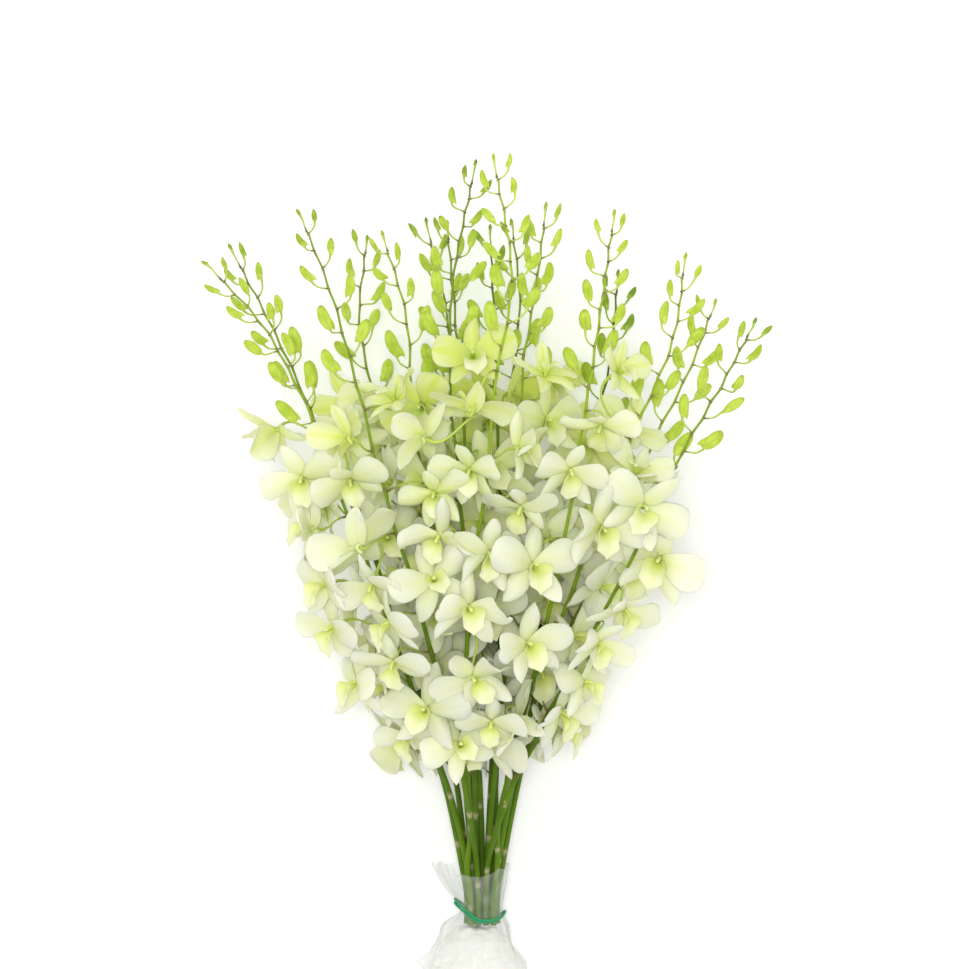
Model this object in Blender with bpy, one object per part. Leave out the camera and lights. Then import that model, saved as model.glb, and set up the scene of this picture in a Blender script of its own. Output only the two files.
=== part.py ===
"""A tied bunch of cut white dendrobium orchid sprays, lying on a table.

Lengths in the lists below are millimetres, angles are degrees. Along (+Y) runs from the tie to the tips,
across (+X) is to the right, and height (+Z) is above the table.
"""

import math
import random

import bmesh
import bpy
import numpy as np
from mathutils import Matrix, Quaternion, Vector
from mathutils.bvhtree import BVHTree

MM = 0.001
UP = Vector((0, 0, 1))

# The tie
TIE_HEIGHT = 24.0
STEM_PITCH = 5.5
LAYER_PITCH = 4.6
CUT_END = -9.0
TIGHT_TO = 12.0
LOOSE_FROM = 30.0
SPREAD_AT_LOOSE = 1.28
RISE_AT_LOOSE = 1.25

# The stems
STEM_RADIUS = 2.1
TIP_RADIUS = 0.8
THINS_FROM = 60.0
NODE_HALF_LENGTH = 2.0
LONGEST_SEGMENT = 42.0

# Open flowers
FLOWER_RADIUS = 28.0
FLOWER_DEPTH = 2.6
FLOWER_STALK = 25.0
STALK_RADIUS = 0.8
LOWEST_FLOWER = 96.0
LOWEST_CENTRE = 124.0
NODE_STAGGER = 7.0
OPEN_SHARE = 0.74

# Buds
BUD_STALK = 14.0
BUD_LENGTH = 21.0
BUD_WIDTH_SHARE = 0.215
WIDEST_AT = 0.42
END_BUD_LENGTH = 8.0

# Room between things
TABLE_CLEARANCE = 0.4
CLEARANCE = 0.45
TRIES = 400
CHOICES = 7
CELL = 4.0

# The wrapping
FILM = 0.6
NECK_HALF_WIDTH = 14.3
NECK_HALF_HEIGHT = 11.5
BAND_RADIUS = 1.1
BAND_SLACK = 0.35
BAND_SAG = 8.5
BAND_TILT = 4.0
COTTON_GAP = 0.9

BUNCH_AXIS = Vector((0.0, 250.0, 92.0))

# Four layers of sprays lie on each other. A spray has its layer, its slot in the tie and the (across,
# along, height) points that its stem passes through, then its counts of open flowers and of buds. Two pairs
# of stems cross just above the tie, where one of the two is held higher.
SPRAYS = {
    "spray_01": (0, -1.5, [(-30, 168, 32), (-55, 283, 40), (-76, 365, 42), (-88, 430, 42), (-83, 480, 40)],
                 9, 8),
    "spray_02": (0, -0.5, [(-10, 168, 32), (-15, 297, 40), (-20, 383, 42), (-27, 440, 41), (-38, 488, 38)],
                 8, 7),
    "spray_03": (0, 0.5, [(10, 168, 32), (17, 297, 40), (22, 383, 42), (27, 440, 42), (22, 490, 40)], 8, 7),
    "spray_04": (0, 1.5, [(28, 154, 32), (57, 255, 40), (76, 333, 42), (92, 400, 42), (97, 452, 40)], 9, 8),
    "spray_05": (1, -2, [(-46, 165, 50), (-84, 276, 76), (-112, 340, 82), (-138, 400, 84), (-172, 466, 85)],
                 9, 9),
    "spray_06": (1, -1, [(-20, 169, 50), (-37, 283, 76), (-49, 368, 82), (-54, 430, 82), (-68, 478, 82)],
                 9, 8),
    "spray_07": (1, 0, [(-5, 170, 50), (-10, 300, 76), (-15, 380, 82), (-20, 440, 83), (-24, 486, 84)],
                 8, 7),
    "spray_08": (1, 1, [(12, 170, 50), (13, 298, 76), (9, 380, 82), (8, 440, 84), (6, 480, 85)], 8, 7),
    "spray_09": (1, 2, [(46, 165, 48), (90, 265, 76), (121, 340, 82), (146, 390, 84), (162, 432, 84)],
                 9, 8),
    "spray_10": (2, -1.5, [(-54, 180, 74), (-94, 292, 108), (-126, 373, 115), (-156, 424, 118),
                           (-185, 455, 121)],
                 10, 10),
    "spray_11": (2, -0.5, [(-8, 190, 76), (-16, 311, 110), (-22, 376, 118), (-20, 446, 122), (-6, 520, 128)],
                 10, 11),
    "spray_12": (2, 0.5, [(17, 185, 76), (26, 311, 108), (28, 387, 116), (38, 450, 119), (43, 492, 121)],
                 9, 9),
    "spray_13": (2, 1.5, [(48, 190, 76), (81, 284, 105), (107, 349, 114), (132, 410, 117), (139, 458, 118)],
                 10, 9),
    "spray_14": (3, -0.5, [(-5, 45, 42.5), (-38, 206, 108), (-67, 306, 142), (-85, 378, 152),
                           (-104, 444, 159), (-120, 484, 166)], 10, 8),
    "spray_15": (3, -1.5, [(-8, 45, 38), (-9, 70, 46), (-10, 215, 112), (1, 301, 142), (10, 379, 152),
                           (20, 450, 160), (9, 520, 168)], 10, 10),
    "spray_16": (3, 1.5, [(10, 45, 38), (27, 135, 74), (53, 250, 126), (64, 320, 140), (80, 425, 154),
                          (88, 484, 161)], 10, 10),
    "spray_17": (3, 0.5, [(6, 45, 43), (70, 195, 108), (111, 277, 138), (132, 324, 146), (160, 372, 150),
                          (182, 414, 153)], 10, 10),
}

# Open flowers that show at the front of the bunch. Each has its centre (across, along, height), the way it
# faces (degrees up from the table's plane, then clockwise from +Y), its turn about that way, and its width.
# It grows from the free node that suits it best.
SHOWN = [
    ((-38, 154, 119), 68, 262, -20, 56),
    ((-6, 177, 138), 66, 150, 40, 50),
    ((31, 201, 149), 68, 110, 20, 52),
    ((-9, 226, 166), 62, 140, 0, 50),
    ((-33, 244, 166), 72, 30, 0, 50),
    ((25, 145, 112), -20, 120, 60, 46),
    ((55, 151, 111), 30, 125, 10, 50),
    ((71, 172, 117), 35, 95, 0, 46),
    ((-63, 215, 150), 20, 235, 0, 50),
    ((-87, 171, 105), 30, 260, 0, 48),
    ((-51, 133, 92), 25, 215, 0, 46),
    ((34, 254, 165), 66, 85, 0, 56),
    ((120, 257, 129), 60, 205, 10, 58),
    ((80, 279, 158), 60, 130, 0, 56),
    ((80, 348, 160), 30, 200, 0, 46),
    ((26, 333, 170), 35, 90, 0, 46),
    ((26, 293, 167), 30, 200, 0, 46),
    ((-123, 313, 130), 58, 190, 0, 52),
    ((-84, 267, 158), -60, 300, 0, 56),
    ((-91, 340, 158), -35, 280, 0, 48),
    ((-40, 341, 166), -30, 310, 0, 48),
    ((-32, 303, 166), 50, 190, 0, 44),
    ((-7, 358, 168), -30, 0, 0, 50),
    ((-27, 272, 168), 45, 210, 0, 48),
    ((-74, 241, 155), 35, 200, 0, 46),
    ((-107, 240, 136), 35, 250, 0, 50),
    ((-116, 279, 132), 30, 275, 0, 48),
    ((-91, 313, 142), 50, 180, 0, 48),
    ((105, 315, 144), 35, 20, 0, 46),
    ((92, 385, 148), 35, 60, 0, 42),
    ((42, 382, 164), 30, 20, 0, 42),
    ((97, 223, 140), 30, 150, 0, 48),
    ((-102, 212, 124), 30, 240, 0, 48),
    ((-59, 189, 134), 45, 200, 0, 48),
    ((7, 262, 168), 50, 180, 0, 46),
    ((-8, 318, 168), 50, 200, 0, 46),
    ((59, 318, 162), 50, 160, 0, 46),
    ((-58, 365, 162), 25, 330, 0, 44),
    ((80, 202, 134), 45, 140, 0, 46),
    ((9, 146, 119), 35, 175, 0, 42),
]

# The outline of the mass of open flowers, seen from above: (across, along).
FLOWER_MASS = [
    (-57, 113), (-72, 129), (-101, 167), (-126, 222), (-133, 256), (-152, 318), (-139, 346), (-105, 374),
    (-29, 384), (26, 401), (81, 401), (109, 380), (123, 305), (144, 277), (154, 249), (123, 229), (87, 180),
    (71, 136), (54, 120),
]

# The outline of an open flower seen from its front, counter-clockwise from the upper sepal: the angle and
# the reach of each point as a share of the flower's radius, and how far it stands forward.
OUTLINE = [
    (97, 0.96, 0.02), (117, 0.42, 0.0),
    (150, 0.98, 0.10), (187, 1.00, 0.10), (207, 0.40, 0.0),
    (226, 0.92, 0.0), (241, 0.92, 0.0),
    (262, 0.58, 0.30), (278, 0.58, 0.30),
    (299, 0.92, 0.0), (314, 0.92, 0.0), (333, 0.40, 0.0),
    (353, 1.00, 0.10), (30, 0.98, 0.10), (63, 0.42, 0.0), (83, 0.96, 0.02),
]
RIM_START = 12
CENTRE_POINT = 28

# Sections of the film from its folded end to its mouth: along, across, half width, half height. The pouch
# below the band lies flat on the table, and the mouth above it stands open round the stems.
POUCH = [
    (-60, 1, 31, 20), (-56, 0.5, 36, 23.2), (-46, -2, 38, 23.6), (-37, -4.5, 36.5, 23.3), (-29, -5.5, 31, 22.5),
    (-21, -5.5, 27.5, 21), (-11, -5.5, 25, 17.5), (-6, -4, 21.5, 13.2),
    (-1, 0, NECK_HALF_WIDTH + FILM, NECK_HALF_HEIGHT + FILM), (8, -1.5, 17, 12.8), (20, -5, 22, 16),
    (33, -7, 26.5, 19.5),
]
COTTON_SECTIONS = 5


def clear_scene():
    for obj in list(bpy.data.objects):
        bpy.data.objects.remove(obj)


def new_material(name, colour, roughness):
    material = bpy.data.materials.new(name)
    material.use_nodes = True
    shader = material.node_tree.nodes["Principled BSDF"]
    shader.inputs["Base Color"].default_value = (*colour, 1.0)
    shader.inputs["Roughness"].default_value = roughness
    shader.inputs["Metallic"].default_value = 0.0
    return material


def steepest(direction):
    """A unit vector at right angles to the direction, as near to straight up as can be."""
    up = UP if abs(direction.z) < 0.95 else Vector((0, 1, 0))
    return (up - direction * up.dot(direction)).normalized()


def mean(points):
    return sum(points, Vector()) / len(points)


def scatter(draw, reach):
    return Vector([draw.uniform(-reach, reach) for _ in range(3)])


def square(centre, direction, first, radius):
    """Four points round a centre, at right angles to a direction. The first is nearest to the way `first`."""
    u = (first - direction * first.dot(direction)).normalized()
    v = direction.cross(u)
    return [centre + radius * w for w in (u, v, -u, -v)]


def outward_way(side):
    return (side[1] - side[0]).cross(side[3] - side[0]).normalized()


class Spray:
    """One stem with its stalks, flowers and buds, kept as a list of points and a list of faces."""

    def __init__(self, name, layer, slot, way, flowers, buds):
        self.name = name
        tie_x = slot * STEM_PITCH
        rise = (layer - 1.5) * LAYER_PITCH
        tie_z = TIE_HEIGHT + rise
        loose = (tie_x * SPREAD_AT_LOOSE, LOOSE_FROM, TIE_HEIGHT + rise * RISE_AT_LOOSE)
        self.knots = np.array([(tie_x, CUT_END, tie_z), (tie_x, TIGHT_TO, tie_z), loose, *way], float)
        self.tip = way[-1][1]
        self.points = []
        self.faces = []
        self.open_sides = {}
        self.used_sides = set()
        self.plan_nodes(flowers, buds)
        self.make_stem()

    def at(self, along):
        """The stem's centre: a cubic through the knots, whose slope at each is that of its two neighbours."""
        y = self.knots[:, 1]
        i = int(np.clip(np.searchsorted(y, along) - 1, 0, len(y) - 2))
        slope = np.gradient(self.knots, y, axis=0)
        h = y[i + 1] - y[i]
        t = (along - y[i]) / h
        ends = (2 * t**3 - 3 * t**2 + 1) * self.knots[i] + (3 * t**2 - 2 * t**3) * self.knots[i + 1]
        turns = (t**3 - 2 * t**2 + t) * h * slope[i] + (t**3 - t**2) * h * slope[i + 1]
        return Vector(ends + turns)

    def heading(self, along):
        return (self.at(along + 0.5) - self.at(along - 0.5)).normalized()

    def plan_nodes(self, flowers, buds):
        """Places along the stem where a stalk leaves it: open flowers evenly, then buds nearer and nearer."""
        start = LOWEST_FLOWER + NODE_STAGGER * (int(self.name[-2:]) % 4)
        top_flower = self.tip * OPEN_SHARE
        spacing = (top_flower - start) / (flowers - 1)
        reach = self.tip - END_BUD_LENGTH - top_flower
        share = np.arange(1, buds + 1) / buds
        self.nodes = [start + spacing * k for k in range(flowers)]
        self.nodes += [float(top_flower + reach * (1.3 * s - 0.3 * s * s)) for s in share]
        self.kinds = ["flower"] * flowers + ["bud"] * buds
        self.first_bud = flowers

    def radius(self, along):
        share = np.clip((along - THINS_FROM) / (self.tip - THINS_FROM), 0, 1)
        return float(STEM_RADIUS + (TIP_RADIUS - STEM_RADIUS) * share**0.8)

    def make_stem(self):
        """Rings of four points: a pair at each node, more between them, and a bud on the tip."""
        self.rings = []
        places = [(CUT_END, None), (TIGHT_TO, None), (LOOSE_FROM, None)]
        last = LOOSE_FROM
        for index, node in enumerate(self.nodes):
            gap = node - NODE_HALF_LENGTH - last
            extra = int(gap // LONGEST_SEGMENT)
            places += [(last + gap * (k + 1) / (extra + 1), None) for k in range(extra)]
            places += [(node - NODE_HALF_LENGTH, index), (node + NODE_HALF_LENGTH, index)]
            last = node + NODE_HALF_LENGTH
        first = steepest(self.heading(CUT_END))
        for along, index in places:
            centre, way = self.at(along), self.heading(along)
            corners = square(centre, way, first, self.radius(along))
            first = corners[0] - centre
            self.rings.append(([self.add(p) for p in corners], index))
        self.add_face(list(reversed(self.rings[0][0])))
        for (low, low_index), (high, high_index) in zip(self.rings, self.rings[1:]):
            for k in range(4):
                side = [low[k], low[(k + 1) % 4], high[(k + 1) % 4], high[k]]
                if low_index is not None and low_index == high_index:
                    self.open_sides[(low_index, k)] = side
                else:
                    self.add_face(side)
        self.end_bud()

    def end_bud(self):
        """The youngest bud, at the end of the stem."""
        ring, way = self.rings[-1][0], self.heading(self.tip)
        centre = mean([self.points[i] for i in ring])
        first = self.points[ring[0]] - centre
        for share, radius in ((0.0, TIP_RADIUS * 0.9), (0.35, 2.0), (0.7, 1.7)):
            place = self.at(self.tip) + way * END_BUD_LENGTH * share
            ring = self.join_ring(ring, square(place, way, first, radius))
        apex = self.add(self.at(self.tip) + way * END_BUD_LENGTH)
        for k in range(4):
            self.add_face([ring[k], ring[(k + 1) % 4], apex])

    def add(self, point):
        self.points.append(Vector(point))
        return len(self.points) - 1

    def add_face(self, corners):
        self.faces.append(tuple(corners))

    def join_ring(self, ring, corners):
        new = [self.add(p) for p in corners]
        for k in range(4):
            n = (k + 1) % 4
            self.add_face([ring[k], ring[n], new[n], new[k]])
        return new

    def side_towards(self, index, way):
        """The key of the side, of the four at a node, that faces nearest to a way, and its four points."""
        sides = {k: [self.points[i] for i in self.open_sides[(index, k)]] for k in range(4)}
        best = max(sides, key=lambda k: outward_way(sides[k]).dot(way))
        return (index, best), sides[best]

    def attach(self, key, points, faces):
        """Joins a stalk and what it carries to the stem's side. The first four points are that side's."""
        numbers = list(self.open_sides[key]) + [self.add(p) for p in points[4:]]
        for face in faces:
            self.add_face([numbers[i] for i in face])
        self.used_sides.add(key)

    def close_sides(self):
        for key, side in self.open_sides.items():
            if key not in self.used_sides:
                self.add_face(side)


def stalk_rings(base, stops):
    """Rings of four points along a stalk, turned so that their corners follow those of the stem's side."""
    first = base[0] - mean(base)
    rings = []
    previous = outward_way(base)
    for point, way, radius in stops:
        turn = previous.rotation_difference(way)
        first = turn @ first
        previous = way
        rings.append(square(point, way, first, radius))
        first = rings[-1][0] - point
    return rings


def triangles(faces):
    found = []
    for face in faces:
        found += [(face[0], face[i], face[i + 1]) for i in range(1, len(face) - 1)]
    return found


def flower_mesh(base, centre, facing, upper, radius, cup):
    """Points and faces of a stalk and its open flower. The first four points are the stem's side."""
    back = centre - facing * FLOWER_DEPTH
    root = mean(base)
    middle = (root + outward_way(base) * 7.0) * 0.42 + (back - facing * 8.0) * 0.58
    bend = ((back - root).normalized() * 0.6 + facing * 0.4).normalized()
    rings = stalk_rings(base, [(middle, bend, STALK_RADIUS), (back, facing, STALK_RADIUS * 1.4)])
    points = list(base) + rings[0] + rings[1]
    faces = []
    for a, b in ((0, 4), (4, 8)):
        faces += [(a + k, a + (k + 1) % 4, b + (k + 1) % 4, b + k) for k in range(4)]
    right = upper.cross(facing)
    rim = []
    for angle, reach, forward in OUTLINE:
        angle = math.radians(angle)
        lift = forward + cup * reach * reach
        flat = right * math.cos(angle) + upper * math.sin(angle)
        rim.append(centre + radius * (reach * flat + lift * facing))
    # The rim's points are counted from the one nearest to the ring's first corner.
    corner_ways = [(p - back).normalized() for p in rings[1]]
    rim_ways = [(p - centre).normalized() for p in rim]
    best = max(range(16), key=lambda s: sum(corner_ways[k].dot(rim_ways[(s + 4 * k) % 16]) for k in range(4)))
    points += [rim[(best + k) % 16] for k in range(16)]
    for k in range(4):
        for step in (-2, -1, 0, 1):
            a, b = (4 * k + step) % 16, (4 * k + step + 1) % 16
            faces.append((8 + k, RIM_START + a, RIM_START + b))
        faces.append((8 + k, 8 + (k + 1) % 4, RIM_START + (4 * k + 2) % 16))
    points.append(centre)
    faces += [(RIM_START + k, RIM_START + (k + 1) % 16, CENTRE_POINT) for k in range(16)]
    return points, faces


def bud_mesh(base, foot, heading, length, radius):
    """Points and faces of a stalk and the bud on its end."""
    root = mean(base)
    middle = (root + outward_way(base) * 4.0) * 0.5 + (foot - heading * 4.0) * 0.5
    bend = ((foot - root).normalized() + heading * 0.3).normalized()
    stops = [(middle, bend, STALK_RADIUS * 0.9), (foot, heading, STALK_RADIUS)]
    stops.append((foot + heading * length * WIDEST_AT, heading, radius))
    rings = stalk_rings(base, stops)
    points = list(base) + [p for ring in rings for p in ring] + [foot + heading * length]
    faces = []
    for a in range(0, 12, 4):
        faces += [(a + k, a + (k + 1) % 4, a + 4 + (k + 1) % 4, a + 4 + k) for k in range(4)]
    faces += [(12 + k, 12 + (k + 1) % 4, 16) for k in range(4)]
    return points, faces


class Space:
    """What is already in the bunch, and a test of whether something new keeps clear of it."""

    def __init__(self):
        self.things = []
        self.low = np.zeros((0, 3))
        self.high = np.zeros((0, 3))

    def put(self, points, faces, owner):
        array = np.array(points)
        self.things.append((BVHTree.FromPolygons(points, triangles(faces)), owner))
        self.low = np.vstack([self.low, array.min(axis=0)])
        self.high = np.vstack([self.high, array.max(axis=0)])

    def is_clear(self, points, faces, spray):
        """The stalk's own stem is tested only against what lies beyond the stalk's first length."""
        array = np.array(points)
        if array[:, 2].min() < TABLE_CLEARANCE:
            return False
        near = np.all((self.low - 1 < array.max(axis=0)) & (self.high + 1 > array.min(axis=0)), axis=1)
        if not near.any():
            return True
        whole = BVHTree.FromPolygons(points, triangles(faces))
        outer = BVHTree.FromPolygons(points, triangles([f for f in faces if min(f) >= 4]))
        for index in np.flatnonzero(near):
            tree, owner = self.things[index]
            own_stem = owner == spray.name
            if (outer if own_stem else whole).overlap(tree):
                return False
            for point in points[8:] if own_stem else points[4:]:
                if tree.find_nearest(point, CLEARANCE)[0] is not None:
                    return False
        return True


class Cover:
    """The cells of the flower mass, seen from above, and which of them have a flower over them."""

    def __init__(self, outline):
        """A cell is in the mass where a line from it to +X crosses the outline an odd number of times."""
        self.low = np.min(outline, axis=0) - 60
        size = ((np.max(outline, axis=0) + 60 - self.low) / CELL).astype(int)
        x, y = [self.low[i] + (np.arange(size[i]) + 0.5) * CELL for i in (0, 1)]
        x, y = np.meshgrid(x, y, indexing="ij")
        self.wanted = np.zeros(x.shape, bool)
        for (x1, y1), (x2, y2) in zip(outline, outline[1:] + outline[:1]):
            between = (y1 > y) != (y2 > y)
            meets = x < (x2 - x1) * (y - y1) / ((y2 - y1) or 1e-9) + x1
            self.wanted ^= between & meets
        self.covered = np.zeros(x.shape, bool)

    def cells(self, points):
        """The cells under a flower: points at three reaches along the ways to its rim."""
        centre = np.array(points[CENTRE_POINT])
        rim = np.array(points[RIM_START:CENTRE_POINT]) - centre
        ways = np.concatenate([rim, (rim + np.roll(rim, -1, axis=0)) / 2])
        places = np.concatenate([centre + ways * share for share in (0.35, 0.7, 1.0)])
        index = ((places[:, :2] - self.low) / CELL).astype(int)
        index = np.unique(np.clip(index, 0, np.array(self.wanted.shape) - 1), axis=0)
        return index[:, 0], index[:, 1]

    def gain(self, points):
        """Wanted cells that the flower is first to cover, less half of those where no flower is wanted."""
        cells = self.cells(points)
        wanted = self.wanted[cells]
        return (wanted & ~self.covered[cells]).sum() - 0.5 * (~wanted).sum()

    def put(self, points):
        self.covered[self.cells(points)] = True


def facing_way(rise, bearing):
    """A unit vector from its rise above the table's plane and its bearing, clockwise from the tips."""
    rise, bearing = math.radians(rise), math.radians(bearing)
    return Vector((math.cos(rise) * math.sin(bearing), math.cos(rise) * math.cos(bearing), math.sin(rise)))


def side_way(spray, index, swing):
    """The way that a stalk leaves its stem: left and right by turns, swung by some degrees."""
    way = spray.heading(spray.nodes[index])
    level = UP.cross(way).normalized()
    rise = way.cross(level)
    angle = math.radians((90 if index % 2 else -90) + swing)
    return (rise * math.cos(angle) - level * math.sin(angle)).normalized()


def try_flower(spray, index, loosen, draw, want):
    """One way to set an open flower at a node. As `loosen` goes from 0 to 1, the flower may be smaller and
    further from where it was wanted."""
    along = spray.nodes[index]
    stem, way = spray.at(along), spray.heading(along)
    share = index / (len(spray.nodes) - 1)
    size = 1.0 - 0.34 * max(0.0, loosen - 0.45)
    side = side_way(spray, index, draw.uniform(-1, 1) * (40 + 90 * loosen))
    if want and loosen < 0.6:
        centre, facing, roll, width = want
        centre = centre + scatter(draw, 14.0 * loosen)
        facing = (facing + scatter(draw, loosen)).normalized()
        radius = width / 2 * size
    else:
        stalk = FLOWER_STALK * draw.uniform(0.8, 1.3 + 0.4 * loosen)
        root = mean(spray.side_towards(index, side)[1])
        centre = root + (side + way * draw.uniform(0.45, 1.3)).normalized() * stalk
        centre.y = max(centre.y, LOWEST_CENTRE)
        outward = stem - BUNCH_AXIS
        outward.y = 0
        facing = side * 0.45 + outward.normalized() * 0.5 + UP * 0.5 - way * draw.uniform(-0.1, 0.3)
        facing = (facing + scatter(draw, 0.35 + 0.4 * loosen)).normalized()
        roll = draw.uniform(-35, 35)
        radius = FLOWER_RADIUS * size * (1.04 - 0.2 * share) * draw.uniform(0.92, 1.04)
    key, base = spray.side_towards(index, (centre - stem).normalized())
    upper = way - facing * way.dot(facing)
    upper = upper.normalized() if upper.length > 0.2 else steepest(facing)
    upper = Quaternion(facing, math.radians(roll)) @ upper
    cup = draw.uniform(-0.06, 0.20) + 0.35 * share
    points, faces = flower_mesh(base, centre, facing, upper, radius, cup)
    low = min(p.z for p in points)
    if low < TABLE_CLEARANCE and not want:
        centre = centre + UP * (TABLE_CLEARANCE - low + 0.01)
        points, faces = flower_mesh(base, centre, facing, upper, radius, cup)
    return key, points, faces


def try_bud(spray, index, loosen, draw, want):
    """One way to set a bud at a node. Its stalk leaves sideways and the bud stands nearly along the stem."""
    way = spray.heading(spray.nodes[index])
    side = side_way(spray, index, draw.uniform(-1, 1) * (55 + 70 * loosen))
    key, base = spray.side_towards(index, side)
    young = (index - spray.first_bud) / max(1, len(spray.kinds) - spray.first_bud)
    size = (1.10 - 0.64 * young) * draw.uniform(0.92, 1.08) * (1.0 - 0.25 * max(0.0, loosen - 0.5))
    heading = (side * draw.uniform(0.2, 0.65) + way * draw.uniform(0.75, 1.1)).normalized()
    stalk = BUD_STALK * (1.1 - 0.45 * young) * draw.uniform(0.85, 1.15) * (1 + 0.3 * loosen)
    foot = mean(base) + (side + way * draw.uniform(0.3, 0.85)).normalized() * stalk
    length = BUD_LENGTH * size
    points, faces = bud_mesh(base, foot, heading, length, length * BUD_WIDTH_SHARE)
    return key, points, faces


def place_organ(spray, index, space, cover, draw, want=None):
    """Sets a flower or bud at a node, clear of all else. A flower takes that way, of the first few clear
    ones, that covers most of the flower mass."""
    kind = spray.kinds[index]
    attempt_one = try_flower if kind == "flower" else try_bud
    enough = CHOICES if kind == "flower" and not want else 1
    found = []
    for attempt in range(TRIES):
        key, points, faces = attempt_one(spray, index, attempt / TRIES, draw, want)
        if space.is_clear(points, faces, spray):
            gain = cover.gain(points) if enough > 1 else 0
            found.append((gain, -len(found), key, points, faces))
        if len(found) == enough:
            break
    if not found:
        return False
    _, _, key, points, faces = max(found, key=lambda item: item[:2])
    spray.attach(key, points, faces)
    space.put(points, faces, spray.name + kind)
    if kind == "flower":
        cover.put(points)
    return True


def make_object(name, points, faces, material, collection):
    mesh = bpy.data.meshes.new(name)
    mesh.from_pydata([tuple(p) for p in points], [], faces)
    work = bmesh.new()
    work.from_mesh(mesh)
    bmesh.ops.triangulate(work, faces=work.faces[:])
    bmesh.ops.recalc_face_normals(work, faces=work.faces[:])
    work.to_mesh(mesh)
    work.free()
    mesh.materials.append(material)
    obj = bpy.data.objects.new(name, mesh)
    collection.objects.link(obj)
    return obj


def make_sprays(collection, material):
    """The stems come first, then the flowers that show, the other flowers and the buds, each where it is
    clear. A node that has no clear place left stays bare."""
    sprays = [Spray(name, *spec) for name, spec in SPRAYS.items()]
    space = Space()
    cover = Cover(FLOWER_MASS)
    for spray in sprays:
        space.put(spray.points, spray.faces + list(spray.open_sides.values()), spray.name)
    draw = random.Random(11)
    taken = set()
    bare = 0
    for centre, rise, bearing, roll, width in SHOWN:
        facing = facing_way(rise, bearing)
        foot = Vector(centre) - facing * 6
        free = [(spray, i) for spray in sprays for i in range(spray.first_bud)
                if (spray.name, i) not in taken]
        spray, index = min(free, key=lambda node: abs((node[0].at(node[0].nodes[node[1]]) - foot).length
                                                      - 20))
        taken.add((spray.name, index))
        bare += not place_organ(spray, index, space, cover, draw, (Vector(centre), facing, roll, width))
    for kind in ("flower", "bud"):
        for spray in reversed(sprays):
            for index, this in enumerate(spray.kinds):
                if this == kind and (spray.name, index) not in taken:
                    bare += not place_organ(spray, index, space, cover, draw)
    print("nodes left bare:", bare)
    objects = []
    for spray in sprays:
        spray.close_sides()
        objects.append(make_object(spray.name, spray.points, spray.faces, material, collection))
    return objects


def oval(along, x, z, half_width, half_height, sides):
    angles = np.linspace(0, 2 * math.pi, sides, endpoint=False)
    return [(x + half_width * math.cos(a), along, z + half_height * math.sin(a)) for a in angles]


def loft(rows, offset, outward):
    """Quads between rows of points that are counted from the offset, facing outward or inward."""
    sides = len(rows[0])
    faces = []
    for r in range(len(rows) - 1):
        for k in range(sides):
            a, b = offset + r * sides + k, offset + r * sides + (k + 1) % sides
            faces.append((a, b, b + sides, a + sides) if outward else (a, a + sides, b + sides, b))
    return faces


def shell_object(collection, name, material, sections, wall=0.0, sides=20):
    """A loft along Y through (along, across, height, half width, half height). With a wall it is a shell with
    an open mouth at its last section, and without one it is solid."""
    rows = [oval(*section, sides) for section in sections]
    points = [p for row in rows for p in row]
    faces = loft(rows, 0, True)
    start = len(points)
    points.append(tuple(np.mean(rows[0], axis=0) + np.array((0, -1.0, 0))))
    faces += [(start, (k + 1) % sides, k) for k in range(sides)]
    last = (len(rows) - 1) * sides
    if not wall:
        end = len(points)
        points.append(tuple(np.mean(rows[-1], axis=0) + np.array((0, 1.0, 0))))
        faces += [(end, last + k, last + (k + 1) % sides) for k in range(sides)]
        return make_object(name, points, faces, material, collection)
    inner_rows = []
    for i, (along, x, z, half_width, half_height) in enumerate(sections):
        inset = along + (wall * 1.6 if i == 0 else 0.0)
        inner_rows.append(oval(inset, x, z, half_width - wall, half_height - wall, sides))
    offset = len(points)
    points += [p for row in inner_rows for p in row]
    faces += loft(inner_rows, offset, False)
    floor = len(points)
    points.append(tuple(np.mean(inner_rows[0], axis=0) + np.array((0, -0.2, 0))))
    faces += [(floor, offset + k, offset + (k + 1) % sides) for k in range(sides)]
    for k in range(sides):
        n = (k + 1) % sides
        faces.append((last + k, last + n, offset + last + n, offset + last + k))
    return make_object(name, points, faces, material, collection)


def make_film(collection, material):
    sections = [(y, x, TIE_HEIGHT, w, h) for y, x, w, h in POUCH]
    return shell_object(collection, "poly_bag", material, sections, wall=FILM)


def make_cotton(collection, material):
    inset = FILM + COTTON_GAP
    sections = [(y, x, TIE_HEIGHT, w - inset, h - inset) for y, x, w, h in POUCH[1:1 + COTTON_SECTIONS]]
    sections[0] = (sections[0][0] + 0.6, *sections[0][1:])
    sections.append((CUT_END - 3.0, -4, TIE_HEIGHT, 14.0, 10.0))
    return shell_object(collection, "wet_cotton", material, sections)


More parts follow.
